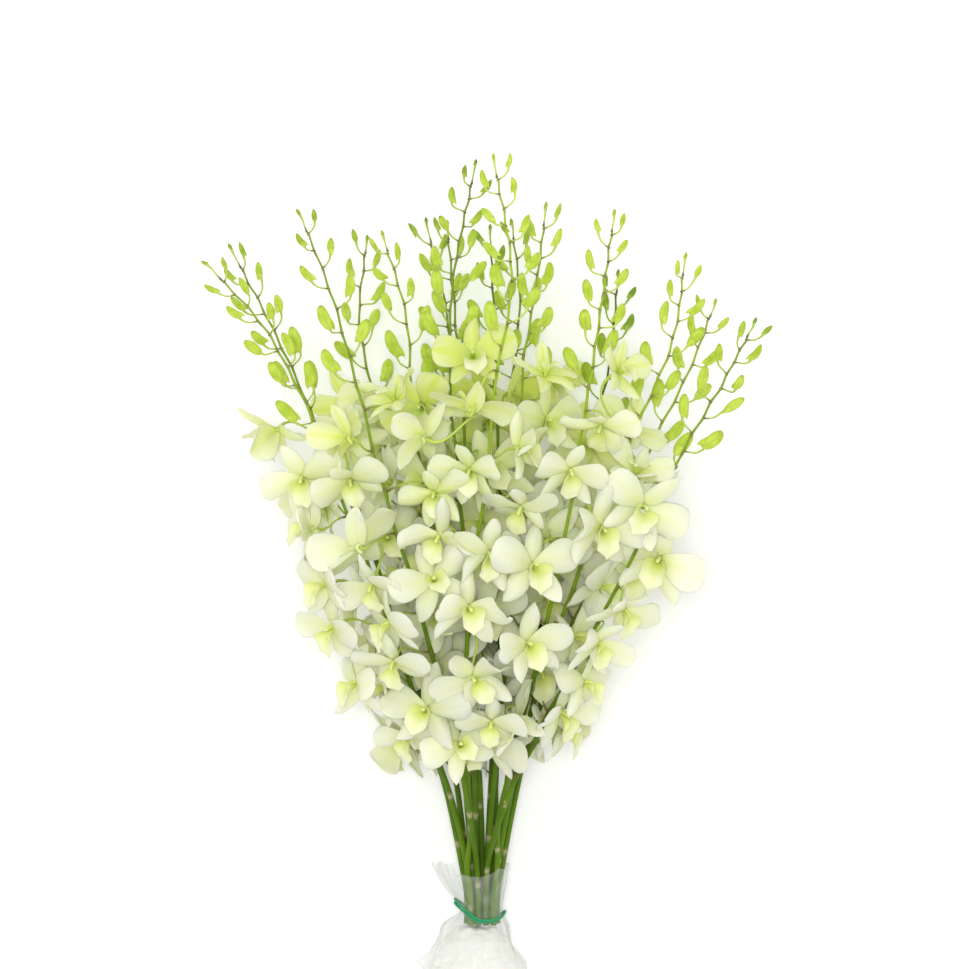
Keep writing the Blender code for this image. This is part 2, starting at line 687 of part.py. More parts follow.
def make_band(collection, material):
    """A rubber ring round the neck. It sags towards the cut ends at the front and at the back."""
    curve = bpy.data.curves.new("rubber_band", "CURVE")
    curve.dimensions = "3D"
    curve.bevel_depth = BAND_RADIUS * MM
    curve.bevel_resolution = 1
    spline = curve.splines.new("POLY")
    count = 28
    spline.points.add(count - 1)
    stops, middles, half_widths, half_heights = np.array(POUCH).T
    gap = BAND_RADIUS + BAND_SLACK
    for k in range(count):
        angle = 2 * math.pi * k / count
        along = BAND_TILT - BAND_SAG * abs(math.sin(angle)) ** 1.5 - BAND_TILT * math.cos(angle)
        x = np.interp(along, stops, middles) + (np.interp(along, stops, half_widths) + gap) * math.cos(angle)
        z = TIE_HEIGHT + (np.interp(along, stops, half_heights) + gap) * math.sin(angle)
        spline.points[k].co = (x, along, z, 1.0)
    spline.use_cyclic_u = True
    curve.materials.append(material)
    obj = bpy.data.objects.new("rubber_band", curve)
    collection.objects.link(obj)
    return obj


def main():
    clear_scene()
    collection = bpy.data.collections.new("dendrobium_orchid")
    bpy.context.scene.collection.children.link(collection)
    flesh = new_material("petal_and_stem", (0.80, 0.86, 0.55), 0.5)
    film = new_material("clear_film", (0.90, 0.92, 0.92), 0.12)
    rubber = new_material("green_rubber", (0.05, 0.45, 0.25), 0.55)
    cotton = new_material("wet_cotton_wool", (0.93, 0.93, 0.92), 0.8)
    made = make_sprays(collection, flesh)
    made.append(make_film(collection, film))
    made.append(make_cotton(collection, cotton))
    made.append(make_band(collection, rubber))
    corners = np.array([v.co for obj in made for v in getattr(obj.data, "vertices", [])])
    low, high = corners.min(axis=0), corners.max(axis=0)
    origin = Vector(((low[0] + high[0]) / 2, (low[1] + high[1]) / 2, low[2]))
    for obj in made:
        obj.data.transform(Matrix.Scale(MM, 4) @ Matrix.Translation(-origin))
    # Scaling a curve's points scales their radius too, which the bevel already has in metres.
    for point in made[-1].data.splines[0].points:
        point.radius = 1.0


main()
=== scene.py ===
"""A tied bunch of cut white dendrobium orchid sprays, lying on a pale table and seen from above."""

import math

import bpy
import numpy as np
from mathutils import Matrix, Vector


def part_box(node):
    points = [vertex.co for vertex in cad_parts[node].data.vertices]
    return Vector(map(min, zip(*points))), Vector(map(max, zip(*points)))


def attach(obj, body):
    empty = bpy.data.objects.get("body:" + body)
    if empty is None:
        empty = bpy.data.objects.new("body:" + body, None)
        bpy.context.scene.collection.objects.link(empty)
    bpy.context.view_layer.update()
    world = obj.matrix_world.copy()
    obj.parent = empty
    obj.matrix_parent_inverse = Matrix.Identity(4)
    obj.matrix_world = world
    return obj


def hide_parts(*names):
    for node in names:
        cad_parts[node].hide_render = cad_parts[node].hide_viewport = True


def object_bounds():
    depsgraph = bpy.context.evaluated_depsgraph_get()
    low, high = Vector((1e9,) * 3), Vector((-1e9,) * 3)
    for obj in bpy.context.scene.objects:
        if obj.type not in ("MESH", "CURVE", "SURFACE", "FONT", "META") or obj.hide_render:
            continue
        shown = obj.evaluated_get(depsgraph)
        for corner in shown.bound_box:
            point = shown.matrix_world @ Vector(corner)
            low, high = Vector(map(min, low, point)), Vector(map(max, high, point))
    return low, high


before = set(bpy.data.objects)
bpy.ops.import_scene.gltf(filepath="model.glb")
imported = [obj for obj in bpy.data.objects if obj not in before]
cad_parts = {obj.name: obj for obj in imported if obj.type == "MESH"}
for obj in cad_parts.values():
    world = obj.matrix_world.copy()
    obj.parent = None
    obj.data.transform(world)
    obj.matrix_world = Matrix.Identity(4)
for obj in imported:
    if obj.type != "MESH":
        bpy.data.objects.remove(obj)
cad_box = [list(corner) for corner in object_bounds()]

# Camera, table and light
# The photograph looks at the bunch from far off, so a long lens hangs nearly two metres above the table. The
# camera's place is measured from the rubber band, because the band's place in the picture is known.
CAMERA_HEIGHT = 1.969
CAMERA_FROM_BAND = (0.0035, 0.3069)
FIELD_AT_FLOWERS = 0.6783
FLOWER_HEIGHT = 0.085
SENSOR = 36.0
STUDIO_LIGHT = 0.70
WHITE = (1.0, 1.0, 1.0, 1.0)
TABLE_HALF = 6.0
TABLE_PALE = (0.93, 0.93, 0.92, 1.0)
TABLE_GLOW = 0.14

band_low, band_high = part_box("rubber_band")
band_middle = [(low + high) / 2 for low, high in zip(band_low, band_high)]
camera_data = bpy.data.cameras.new("camera")
camera_data.sensor_width = SENSOR
camera_data.lens = SENSOR * (CAMERA_HEIGHT - FLOWER_HEIGHT) / FIELD_AT_FLOWERS
camera = bpy.data.objects.new("camera", camera_data)
camera.location = (band_middle[0] + CAMERA_FROM_BAND[0], band_middle[1] + CAMERA_FROM_BAND[1], CAMERA_HEIGHT)
bpy.context.scene.collection.objects.link(camera)
bpy.context.scene.camera = camera
bpy.context.scene.view_settings.view_transform = "Standard"

world = bpy.data.worlds.new("studio")
world.use_nodes = True
background = world.node_tree.nodes["Background"].inputs
background["Color"].default_value = WHITE
background["Strength"].default_value = STUDIO_LIGHT
bpy.context.scene.world = world


def soft_box(name, place, aim, size, power):
    """A square area lamp at a place, turned to face a point."""
    lamp = bpy.data.lights.new(name, "AREA")
    lamp.size = size
    lamp.energy = power
    obj = bpy.data.objects.new(name, lamp)
    offset = np.array(aim) - np.array(place)
    flat = math.hypot(offset[0], offset[1])
    obj.location = place
    obj.rotation_euler = (math.atan2(flat, -offset[2]), 0.0, math.atan2(-offset[0], offset[1]))
    bpy.context.scene.collection.objects.link(obj)


soft_box("beside_camera", place=(-0.05, 0.12, 2.15), aim=(0.0, 0.05, 0.1), size=0.5, power=17.0)
soft_box("key", place=(-0.7, 0.8, 1.7), aim=(0.0, 0.0, 0.1), size=1.3, power=5.5)
soft_box("fill", place=(1.2, -0.7, 1.4), aim=(0.0, 0.0, 0.1), size=1.6, power=2.5)

table_mesh = bpy.data.meshes.new("table")
table_corners = [(x * TABLE_HALF, y * TABLE_HALF, 0) for x, y in ((-1, -1), (1, -1), (1, 1), (-1, 1))]
table_mesh.from_pydata(table_corners, [], [(0, 1, 2, 3)])
table = bpy.data.objects.new("table", table_mesh)
bpy.context.scene.collection.objects.link(table)
table_finish = bpy.data.materials.new("pale_table")
table_finish.use_nodes = True
sockets = table_finish.node_tree.nodes["Principled BSDF"].inputs
sockets["Base Color"].default_value = TABLE_PALE
sockets["Roughness"].default_value = 0.9
# The table glows a little, so that it is as white as the photograph's background.
sockets["Emission Color"].default_value = WHITE
sockets["Emission Strength"].default_value = TABLE_GLOW
table_mesh.materials.append(table_finish)


# The sprays' places
# Each spray grew as one piece and is one node of the frame: a square stem, square stalks, sixteen-pointed
# flowers and four-sided buds. The fine spray is grown on those places, so it stays where the frame has it.
PLACES_PER_METRE = 1e5
RIM_POINTS = 16
# How far the points of a flower's rim reach, as shares of its radius. The first and last are the top sepal's.
RIM_REACH = np.array([0.96, 0.42, 0.98, 1.0, 0.40, 0.92, 0.92, 0.58,
                      0.58, 0.92, 0.92, 0.40, 1.0, 0.98, 0.42, 0.96])
PETAL_POINTS = [2, 3, 12, 13]
BLUNTEST_TIP = math.radians(200)
RING_REACH = 0.0032
BUD_UPRIGHT = 0.40
BUD_WANDER = 0.16
BUD_RISE = (0.0005, 0.0060)
place_chance = np.random.default_rng(5)


def unit(vectors):
    """Each vector divided by its length."""
    return vectors / np.maximum(np.linalg.norm(vectors, axis=-1, keepdims=True), 1e-9)


def merged(node):
    """A node's points and triangles, with the points on the same hundredth of a millimetre made one."""
    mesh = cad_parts[node].data
    mesh.calc_loop_triangles()
    points = np.empty(len(mesh.vertices) * 3, np.float32)
    mesh.vertices.foreach_get("co", points)
    corners = np.empty(len(mesh.loop_triangles) * 3, np.int32)
    mesh.loop_triangles.foreach_get("vertices", corners)
    points = points.reshape(-1, 3).astype(float)
    places = np.round(points * PLACES_PER_METRE).astype(int)
    _, first, which = np.unique(places, axis=0, return_index=True, return_inverse=True)
    return points[first], which.ravel()[corners].reshape(-1, 3)


class SprayPlan:
    """The stem's rings, the open flowers and the buds of one spray, read from its node."""

    def __init__(self, node):
        self.points, triangles = merged(node)
        count = len(self.points)
        self.links = np.zeros((count, count), bool)
        for a, b in ((0, 1), (1, 2), (2, 0)):
            self.links[triangles[:, a], triangles[:, b]] = True
            self.links[triangles[:, b], triangles[:, a]] = True
        self.used = np.zeros(count, bool)
        self.flowers = [self.read_flower(c) for c in np.flatnonzero(self.links.sum(axis=1) == RIM_POINTS)]
        self.buds = []
        for tip in np.flatnonzero((self.links.sum(axis=1) == 4) & ~self.used):
            self.read_bud(tip)
        self.read_stem()
        self.loosen_buds()

    def levels(self, start, most):
        """Sets of points one, two, three links away from the start, and so on."""
        seen = np.zeros(len(self.points), bool)
        seen[start] = True
        found = [np.atleast_1d(start)]
        for _ in range(most):
            near = self.links[found[-1]].any(axis=0) & ~seen
            seen |= near
            found.append(np.flatnonzero(near))
        return found

    def walk(self, ring):
        """The points of a ring in order."""
        order = [ring[0]]
        while len(order) < len(ring):
            near = [p for p in ring if self.links[order[-1], p] and p not in order]
            order.append(near[0])
        return order

    def read_flower(self, centre_point):
        """Centre, facing, upward way, radius and lift from the rim, and the stalk's path from behind it."""
        centre_set, rim, back, middle, root = self.levels(centre_point, 4)
        self.used[np.concatenate([centre_set, rim, back, middle])] = True
        centre = self.points[centre_point]
        facing = unit(centre - self.points[back].mean(axis=0))
        offsets = self.points[self.walk(list(rim))] - centre
        if (np.cross(offsets, np.roll(offsets, -1, axis=0)) @ facing).sum() < 0:
            offsets = offsets[::-1]
        # The rim starts at the top sepal where its reaches match a flower's best.
        reach = np.linalg.norm(offsets, axis=1)
        shift = max(range(RIM_POINTS), key=lambda s: float(np.dot(np.roll(reach, -s), RIM_REACH)))
        offsets = np.roll(offsets, -shift, axis=0)
        upward = offsets[0] + offsets[-1]
        upward = unit(upward - facing * upward.dot(facing))
        petals = offsets[PETAL_POINTS]
        radius = np.linalg.norm(petals - np.outer(petals @ facing, facing), axis=1).mean()
        lift = float((petals @ facing).mean() / radius)
        stalk = np.array([self.points[s].mean(axis=0) for s in (root, middle, back)])
        return {"centre": centre, "facing": facing, "upward": upward, "radius": radius, "lift": lift,
                "stalk": stalk}

    def read_bud(self, tip):
        """Tip, foot, radius and the stalk's path. A point is a bud's tip if its corner is sharp and the four
        rings behind it are a bud's and a stalk's."""
        sets = self.levels(tip, 4)
        if [len(s) for s in sets] != [1, 4, 4, 4, 4]:
            return
        ways = unit(self.points[self.walk(list(sets[1]))] - self.points[tip])
        corner = np.arccos(np.clip((ways * np.roll(ways, -1, axis=0)).sum(axis=1), -1, 1)).sum()
        if corner > BLUNTEST_TIP:
            return
        self.used[np.concatenate(sets[:4])] = True
        widest, foot, middle, root = [self.points[s].mean(axis=0) for s in sets[1:]]
        radius = np.linalg.norm(self.points[sets[1]] - widest, axis=1).mean()
        self.buds.append({"tip": self.points[tip], "foot": foot, "radius": radius,
                          "stalk": np.array([root, middle, foot])})

    def read_stem(self):
        """Ring centres and radii from the cut end to the tip. The frame drops corners that lie on a straight
        edge, and a ring that lost some is left out."""
        free = self.points[~self.used]
        near = np.linalg.norm(free[:, None] - free[None], axis=2) < RING_REACH
        # Three passes give every point of a ring the lowest number among them.
        group = np.arange(len(free))
        for _ in range(3):
            group = np.where(near, group[None], len(free)).min(axis=1)
        rings = [free[group == g] for g in np.unique(group)]
        rings = np.array(sorted((r for r in rings if len(r) == 4), key=lambda r: r[:, 1].mean()))
        self.centres = rings.mean(axis=1)
        self.radii = np.linalg.norm(rings - self.centres[:, None], axis=2).mean(axis=1)
        self.ways = unit(np.gradient(self.centres, axis=0))
        self.roots = np.array([organ["stalk"][0] for organ in self.flowers + self.buds])

    def loosen_buds(self):
        """Each bud turns a little towards the tip of the stem, rises a few millimetres along it on its stalk,
        and leans its own way, so that no two stand alike."""
        for bud in self.buds:
            along = self.ways[np.linalg.norm(self.centres - bud["stalk"][0], axis=1).argmin()]
            wander = place_chance.normal(0, BUD_WANDER, 3)
            bud["facing"] = unit(unit(bud["tip"] - bud["foot"]) + BUD_UPRIGHT * along + wander)
            rise = along * place_chance.uniform(*BUD_RISE)
            bud["tip"] = bud["tip"] + rise
            bud["foot"] = bud["foot"] + rise
            bud["stalk"] = bud["stalk"] + np.outer((0.0, 0.5, 1.0), rise)


plans = {node: SprayPlan(node) for node in sorted(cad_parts) if node.startswith("spray")}


# Stems and stalks
# A spray's stem is round, smooth and mid green, 4 to 5 mm thick at the cut and thin at the tip, with pale
# leaf scars low down. It leans to and fro a little from node to node, and at each node a tiny brown bract
# holds a lime stalk with a dark, purplish foot.
STEM_STEP = 0.0022
STEM_AROUND = 12
CUT_GROWTH = 1.07
TIP_GROWTH = 0.80
NODE_SWELL = 0.16
NODE_REACH = 0.0022
NODE_LEAN = 0.0011
LEAN_START = 0.020
SCAR_SPACING = 0.062
SCAR_PLACE = 0.020
SCAR_STEP = 0.017
SCAR_SLANT = 0.0009
SCAR_WIDTH = 0.0010
SCAR_WIDENING = 0.0007
SCAR_WIDE_SIDE = 2.0
SCARRED_SHARE = 0.33
STALK_AROUND = 8
STALK_STOPS = 14
STALK_LEAVES_OUT = 0.95
STALK_LEAVES_UP = 0.35
STALK_START_PULL = 0.55
STALK_END_PULL = 0.50
STALK_SHARES = (0, 0.2, 0.7, 1.0)
FLOWER_STALK_RADII = (0.00090, 0.00070, 0.00078, 0.00140)
BUD_STALK_RADII = (0.00074, 0.00055, 0.00064, 0.00105)
ROOT_DEPTH = 0.0006
BRACT_LENGTH = 0.0015
BRACT_START = -0.1
BRACT_FLARE = (1.15, 1.30, 1.25, 1.05, 0.7)
# Pairs of colours, for a dark spray and for a lime one. Where a spray stands between them is partly
# painted light and shade, set by how high its tip lies in the bunch.
LOW_STEM = ((0.046, 0.108, 0.002), (0.105, 0.205, 0.004))
HIGH_STEM = ((0.080, 0.150, 0.008), (0.340, 0.500, 0.030))
STALK_FOOT = ((0.100, 0.070, 0.040), (0.260, 0.170, 0.100))
STALK_FLESH = ((0.280, 0.430, 0.045), (0.520, 0.650, 0.120))
STREAK_GREEN = (0.240, 0.370, 0.020)
NODE_BROWN = (0.130, 0.075, 0.040)
SCAR_TAN = (0.480, 0.420, 0.250)
BRACT_BROWN = (0.120, 0.070, 0.040)
BRACT_OLIVE = (0.260, 0.240, 0.080)
# A spray's tone runs from 0, dark, to 1, lime. It is a share for how near its tip is to the front of the
# bunch, which is painted light and shade: sprays on top are painted lighter and those under them darker.
# To that it adds a share for chance, which is the sprays' own varying green, less a small drop.
LOWEST_TIP = 0.040
TIP_SPAN = 0.120
FRONT_PAINTED_LIGHT = 0.45
CHANCE_TONE = 0.75
TONE_DROP = 0.08
tone_chance = np.random.default_rng(21)


class Surfaces:
    """Closed surfaces, each a stack of rings with a point at either end, gathered for one mesh with the marks
    that its finish reads."""

    def __init__(self):
        self.points = []
        self.faces = []
        self.sizes = []
        self.finishes = []
        self.marks = {}
        self.count = 0

    def add(self, rings, finish=0, **marks):
        """rings is (surfaces, rings, around, 3). A mark is an array of the first three of those sizes, or one
        that spreads to them."""
        many, rows, around = rings.shape[:3]
        ends = np.stack([rings[:, 0].mean(axis=1), rings[:, -1].mean(axis=1)], axis=1)
        self.points.append(np.concatenate([rings.reshape(many, -1, 3), ends], axis=1).reshape(-1, 3))
        for name, mark in marks.items():
            full = np.broadcast_to(mark, (many, rows, around))
            caps = np.stack([full[:, 0].mean(axis=1), full[:, -1].mean(axis=1)], axis=1)
            values = np.concatenate([full.reshape(many, -1), caps], axis=1).ravel()
            self.marks.setdefault(name, []).append(values)
        row, turn = np.meshgrid(np.arange(rows - 1), np.arange(around), indexing="ij")
        a = (row * around + turn).ravel()
        b = (row * around + (turn + 1) % around).ravel()
        quads = np.stack([a, b, b + around, a + around], axis=1)
        k = np.arange(around)
        first = np.stack([np.full(around, rows * around), (k + 1) % around, k], axis=1)
        last = np.stack([np.full(around, rows * around + 1), (rows - 1) * around + k,
                         (rows - 1) * around + (k + 1) % around], axis=1)
        each = rows * around + 2
        starts = self.count + np.arange(many)[:, None, None] * each
        for shape in (quads, first, last):
            faces = (shape[None] + starts).reshape(-1, shape.shape[1])
            self.faces.append(faces.ravel())
            self.sizes.append(np.full(len(faces), shape.shape[1]))
            self.finishes.append(np.full(len(faces), finish))
        self.count += many * each

    def piece(self, name, finishes, replaced):
        """One smooth mesh object of everything gathered, which rides with the bunch."""
        mesh = bpy.data.meshes.new(name)
        points = np.concatenate(self.points)
        corners = np.concatenate(self.faces)
        sizes = np.concatenate(self.sizes)
        mesh.vertices.add(len(points))
        mesh.vertices.foreach_set("co", points.astype(np.float32).ravel())
        mesh.loops.add(len(corners))
        mesh.loops.foreach_set("vertex_index", corners.astype(np.int32))
        mesh.polygons.add(len(sizes))
        mesh.polygons.foreach_set("loop_start", (np.cumsum(sizes) - sizes).astype(np.int32))
        mesh.polygons.foreach_set("material_index", np.concatenate(self.finishes).astype(np.int32))
        mesh.update(calc_edges=True)
        mesh.shade_smooth()
        for mark, values in self.marks.items():
            attribute = mesh.attributes.new(mark, "FLOAT", "POINT")
            attribute.data.foreach_set("value", np.concatenate(values).astype(np.float32))
        for finish in finishes:
            mesh.materials.append(finish)
        obj = bpy.data.objects.new(name, mesh)
        bpy.context.scene.collection.objects.link(obj)
        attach(obj, "root")
        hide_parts(replaced)


def tubes(paths, radii, around):
    """Rings round paths. paths is (tubes, stops, 3) and radii (tubes, stops). Each ring's first way is that
    of the ring before, leaned to stand at right angles to the path, so that a tube doesn't wring."""
    ahead = unit(np.gradient(paths, axis=1))
    first = np.zeros_like(paths)
    upright = np.abs(ahead[:, 0, 2:3]) >= 0.9
    guess = np.where(upright, np.array([[1.0, 0.0, 0.0]]), np.array([[0.0, 0.0, 1.0]]))
    for stop in range(paths.shape[1]):
        guess = unit(guess - ahead[:, stop] * (guess * ahead[:, stop]).sum(axis=-1, keepdims=True))
        first[:, stop] = guess
    second = np.cross(ahead, first)
    angle = np.linspace(0, 2 * np.pi, around, endpoint=False)
    ring = first[:, :, None] * np.cos(angle)[:, None] + second[:, :, None] * np.sin(angle)[:, None]
    return paths[:, :, None] + ring * radii[:, :, None, None]


def bezier(a, b, c, d, stops):
    """Points of a cubic curve from a to d that leaves towards b and arrives from c, as (curves, stops, 3)."""
    t = np.linspace(0, 1, stops)[None, :, None]
    a, b, c, d = [np.asarray(p)[:, None] for p in (a, b, c, d)]
    return (1 - t)**3 * a + 3 * (1 - t)**2 * t * b + 3 * (1 - t) * t**2 * c + t**3 * d


def smooth_path(knots, values, step):
    """Even points on a cubic through the knots, whose slope at each is that of its neighbours, then the
    values at those points, which run straight from knot to knot, and the length of the path up to each."""
    length = np.concatenate([[0], np.cumsum(np.linalg.norm(np.diff(knots, axis=0), axis=1))])
    stops = np.linspace(0, length[-1], int(length[-1] / step) + 2)
    slope = np.gradient(knots, length, axis=0)
    i = np.clip(np.searchsorted(length, stops, side="right") - 1, 0, len(length) - 2)
    h = (length[i + 1] - length[i])[:, None]
    t = ((stops - length[i])[:, None]) / h
    path = ((2 * t**3 - 3 * t**2 + 1) * knots[i] + (3 * t**2 - 2 * t**3) * knots[i + 1]
            + (t**3 - 2 * t**2 + t) * h * slope[i] + (t**3 - t**2) * h * slope[i + 1])
    return path, np.interp(stops, length, values), stops


def hump(x, middle, width):
    """A smooth hump of height 1: e to the power of minus the squared distance from its middle in widths."""
    return np.exp(-((x - middle) / width) ** 2)


def ramp(x, start, span):
    """0 up to the start, then an even rise to 1 over the span."""
    return np.clip((x - start) / span, 0, 1)


class Wire:
    """A socket that carries a number. Sums and products of wires add their Math nodes."""

    def __init__(self, finish, socket):
        self.finish = finish
        self.socket = socket

    def sum(self, operation, *others):
        return self.finish.node("Math", {"operation": operation}, *others)

    def __add__(self, other):
        return self.sum("ADD", self, other)

    def __radd__(self, other):
        return self.sum("ADD", other, self)

    def __sub__(self, other):
        return self.sum("SUBTRACT", self, other)

    def __rsub__(self, other):
        return self.sum("SUBTRACT", other, self)

    def __mul__(self, other):
        return self.sum("MULTIPLY", self, other)

    def __rmul__(self, other):
        return self.sum("MULTIPLY", other, self)

    def __pow__(self, other):
        return self.sum("POWER", self, other)


class Finish:
    """A material with one Principled shader. Even values go on its sockets, and what varies is wired."""

    def __init__(self, name, **even):
        self.material = bpy.data.materials.new(name)
        self.material.use_nodes = True
        self.tree = self.material.node_tree
        self.shader = self.tree.nodes["Principled BSDF"]
        for socket, value in even.items():
            self.shader.inputs[socket.replace("_", " ")].default_value = value

    def node(self, kind, settings=None, *inputs, output=0, **named):
        """Adds a node: its settings first, then the values or wires of its sockets by place or by name."""
        node = self.tree.nodes.new("ShaderNode" + kind)
        for name, value in (settings or {}).items():
            setattr(node, name, value)
        wanted = list(enumerate(inputs)) + [(k.replace("_", " "), v) for k, v in named.items()]
        for key, value in wanted:
            self.put(node.inputs[key], value)
        return Wire(self, node.outputs[output])

    def put(self, socket, value):
        if isinstance(value, Wire):
            self.tree.links.new(value.socket, socket)
        else:
            socket.default_value = value

    def mark(self, name):
        """A mark that the mesh carries at its points."""
        return self.node("Attribute", {"attribute_name": name}, output="Fac")

    def noise(self, scale, detail=3.0):
        place = self.node("TexCoord", output="Object")
        return self.node("TexNoise", None, Vector=place, Scale=scale, Detail=detail)

    def blend(self, share, first, second):
        """A colour between two others."""
        node = self.tree.nodes.new("ShaderNodeMix")
        node.data_type = "RGBA"
        self.put(node.inputs["Factor"], share)
        self.put(node.inputs[6], first if isinstance(first, Wire) else (*first, 1.0))
        self.put(node.inputs[7], second if isinstance(second, Wire) else (*second, 1.0))
        return Wire(self, node.outputs[2])

    def smooth(self, value, start, end):
        """0 below the start, 1 above the end, and an S between."""
        settings = {"interpolation_type": "SMOOTHSTEP"}
        return self.node("MapRange", settings, Value=value, From_Min=start, From_Max=end)

    def bump(self, height, strength, distance):
        return self.node("Bump", None, Height=height, Strength=strength, Distance=distance)

    def wire(self, socket, value):
        self.put(self.shader.inputs[socket], value)


def stem_finish():
    """Stem and stalk: greener towards the tip, streaked and mottled, with brown nodes and tan scars."""
    finish = Finish("stem_skin", Roughness=0.50, Specular_IOR_Level=0.18)
    along, tone = finish.mark("along"), finish.mark("tone")
    near_node, scar = finish.mark("near_node"), finish.mark("scar")
    mottle = finish.noise(160.0)
    streak = finish.noise(45.0, 2.0)
    low = finish.blend(tone, *LOW_STEM)
    high = finish.blend(tone, *HIGH_STEM)
    stem = finish.blend(finish.smooth(along, 0.25, 0.80), low, high)
    stem = finish.blend(finish.smooth(streak, 0.40, 0.80) * 0.22, stem, STREAK_GREEN)
    stem = finish.blend(near_node * finish.smooth(mottle, 0.38, 0.62) * 0.50, stem, NODE_BROWN)
    stem = finish.blend(scar * finish.smooth(mottle, 0.30, 0.52), stem, SCAR_TAN)
    foot = finish.blend(tone, *STALK_FOOT)
    flesh = finish.blend(tone, *STALK_FLESH)
    stalk = finish.blend(finish.smooth(along, 0.03, 0.30), foot, flesh)
    finish.wire("Base Color", finish.blend(finish.mark("stalk"), stem, stalk))
    finish.wire("Normal", finish.bump(mottle, 0.25, 0.0004))
    return finish.material


def bract_finish():
    """Brown, blotched with olive."""
    finish = Finish("bract_skin", Roughness=0.6)
    blotch = finish.smooth(finish.noise(400.0), 0.35, 0.65)
    finish.wire("Base Color", finish.blend(blotch, BRACT_BROWN, BRACT_OLIVE))
    return finish.material


def stalk_paths(plan, organs, stops):
    """Curves from the stem to the back of each flower or bud. A stalk leaves outward and a little up the
    stem, and arrives straight behind the flower or under the bud."""
    stalks = np.array([organ["stalk"] for organ in organs])
    root, back = stalks[:, 0], stalks[:, 2]
    arrive = np.array([organ["facing"] for organ in organs])
    ring = np.linalg.norm(root[:, None] - plan.centres[None], axis=2).argmin(axis=1)
    way = plan.ways[ring]
    outward = root - plan.centres[ring]
    outward = unit(outward - way * (outward * way).sum(axis=1, keepdims=True))
    leave = unit(outward * STALK_LEAVES_OUT + way * STALK_LEAVES_UP)
    reach = np.linalg.norm(back - root, axis=1, keepdims=True)
    start = root - outward * ROOT_DEPTH
    return bezier(start, root + leave * reach * STALK_START_PULL, back - arrive * reach * STALK_END_PULL,
                  back, stops)


def leaning(path, length, plan):
    """The stem's path with a slight zigzag: at each stalk's root it leans out to that side by NODE_LEAN, and
    it runs straight from one root to the next."""
    places = np.linalg.norm(path[:, None] - plan.roots[None], axis=2).argmin(axis=0)
    order = np.argsort(places)
    lean = unit(plan.roots - path[places])[order] * NODE_LEAN
    stops = length[places][order]
    shift = np.stack([np.interp(length, stops, lean[:, k]) for k in range(3)], axis=1)
    below = length < stops[0]
    shift[below] = lean[0] * np.clip((length[below] - stops[0]) / LEAN_START + 1, 0, 1)[:, None]
    return path + shift


def scars(length, share, number):
    """How far each point of a stem lies in a ring scar. The scars stand evenly along the lowest third of the
    stem, at other places on each spray. A cosine of the angle round the stem slants a scar, and a sine widens
    it on one side."""
    around = np.linspace(0, 2 * np.pi, STEM_AROUND, endpoint=False)[None]
    place = length[:, None] + SCAR_STEP * number + SCAR_SLANT * np.cos(around)
    width = SCAR_WIDTH + SCAR_WIDENING * np.sin(around + SCAR_WIDE_SIDE)
    return hump(place % SCAR_SPACING, SCAR_PLACE, width) * (share < SCARRED_SHARE)[:, None]


def bracts(curves, radius):
    """A short flared cup round the foot of each stalk."""
    foot = curves[:, :1]
    ahead = unit(curves[:, 3:4] - foot)
    share = np.linspace(BRACT_START, 1, len(BRACT_FLARE))[None, :, None]
    axis = foot + ahead * BRACT_LENGTH * share
    return tubes(axis, np.broadcast_to(np.array(BRACT_FLARE) * radius, axis.shape[:2]), STALK_AROUND)


STEM_FINISHES = [stem_finish(), bract_finish()]
tones_with_painted_light = {}
for node, plan in plans.items():
    # The front share is painted light: the higher a spray's tip lies, the lighter the spray is coloured.
    front = ramp(plan.centres[-1][2], LOWEST_TIP, TIP_SPAN)
    tones_with_painted_light[node] = np.clip(FRONT_PAINTED_LIGHT * front + CHANCE_TONE * tone_chance.uniform(0, 1) - TONE_DROP, 0, 1)
    gathered = Surfaces()
    path, radii, length = smooth_path(plan.centres, plan.radii, STEM_STEP)
    share = length / length[-1]
    gap = np.linalg.norm(path[:, None] - plan.roots[None], axis=2).min(axis=1)
    near = hump(np.maximum(gap - radii, 0), 0, NODE_REACH)
    swollen = radii * (CUT_GROWTH + (TIP_GROWTH - CUT_GROWTH) * share) * (1 + NODE_SWELL * near)
    rings = tubes(leaning(path, length, plan)[None], swollen[None], STEM_AROUND)
    none = np.zeros((1, 1, 1))
    tone = none + tones_with_painted_light[node]
    gathered.add(rings, 0, along=share[None, :, None], stalk=none, near_node=near[None, :, None],
                 scar=scars(length, share, int(node[-2:]))[None], tone=tone)
    for organs, widths in ((plan.flowers, FLOWER_STALK_RADII), (plan.buds, BUD_STALK_RADII)):
        curves = stalk_paths(plan, organs, STALK_STOPS)
        t = np.linspace(0, 1, STALK_STOPS)
        width = np.broadcast_to(np.interp(t, STALK_SHARES, widths), curves.shape[:2])
        gathered.add(tubes(curves, width, STALK_AROUND), 0, along=t[None, :, None], stalk=none + 1,
                     near_node=none, scar=none, tone=tone)
        gathered.add(bracts(curves, widths[0]), 1, along=none, stalk=none, near_node=none, scar=none,
                     tone=tone)
    gathered.piece(node + "_stem", STEM_FINISHES, node)


# Open flowers
# A flower has three pointed sepals behind, two broad round petals before them, a rolled lip with a lime
# throat under a short column, and a blunt spur behind. Petals are thin, waxy and white, and greener when just
# open.
FLOWER_GROWTH = 1.25
PETAL_THICKNESS = 0.00042
BLADE_ROWS = 13
BLADE_COLUMNS = 10
LAST_ROW = 0.9992
BLADE_CROWDING = 1.7
RIPPLES_ALONG = 1.6
RIPPLES_ACROSS = 0.35
ARCH_SHORTENING = 0.25
LENGTH_CHANCE = 0.07
WIDTH_CHANCE = 0.11
YOUNG_NARROWING = 0.1
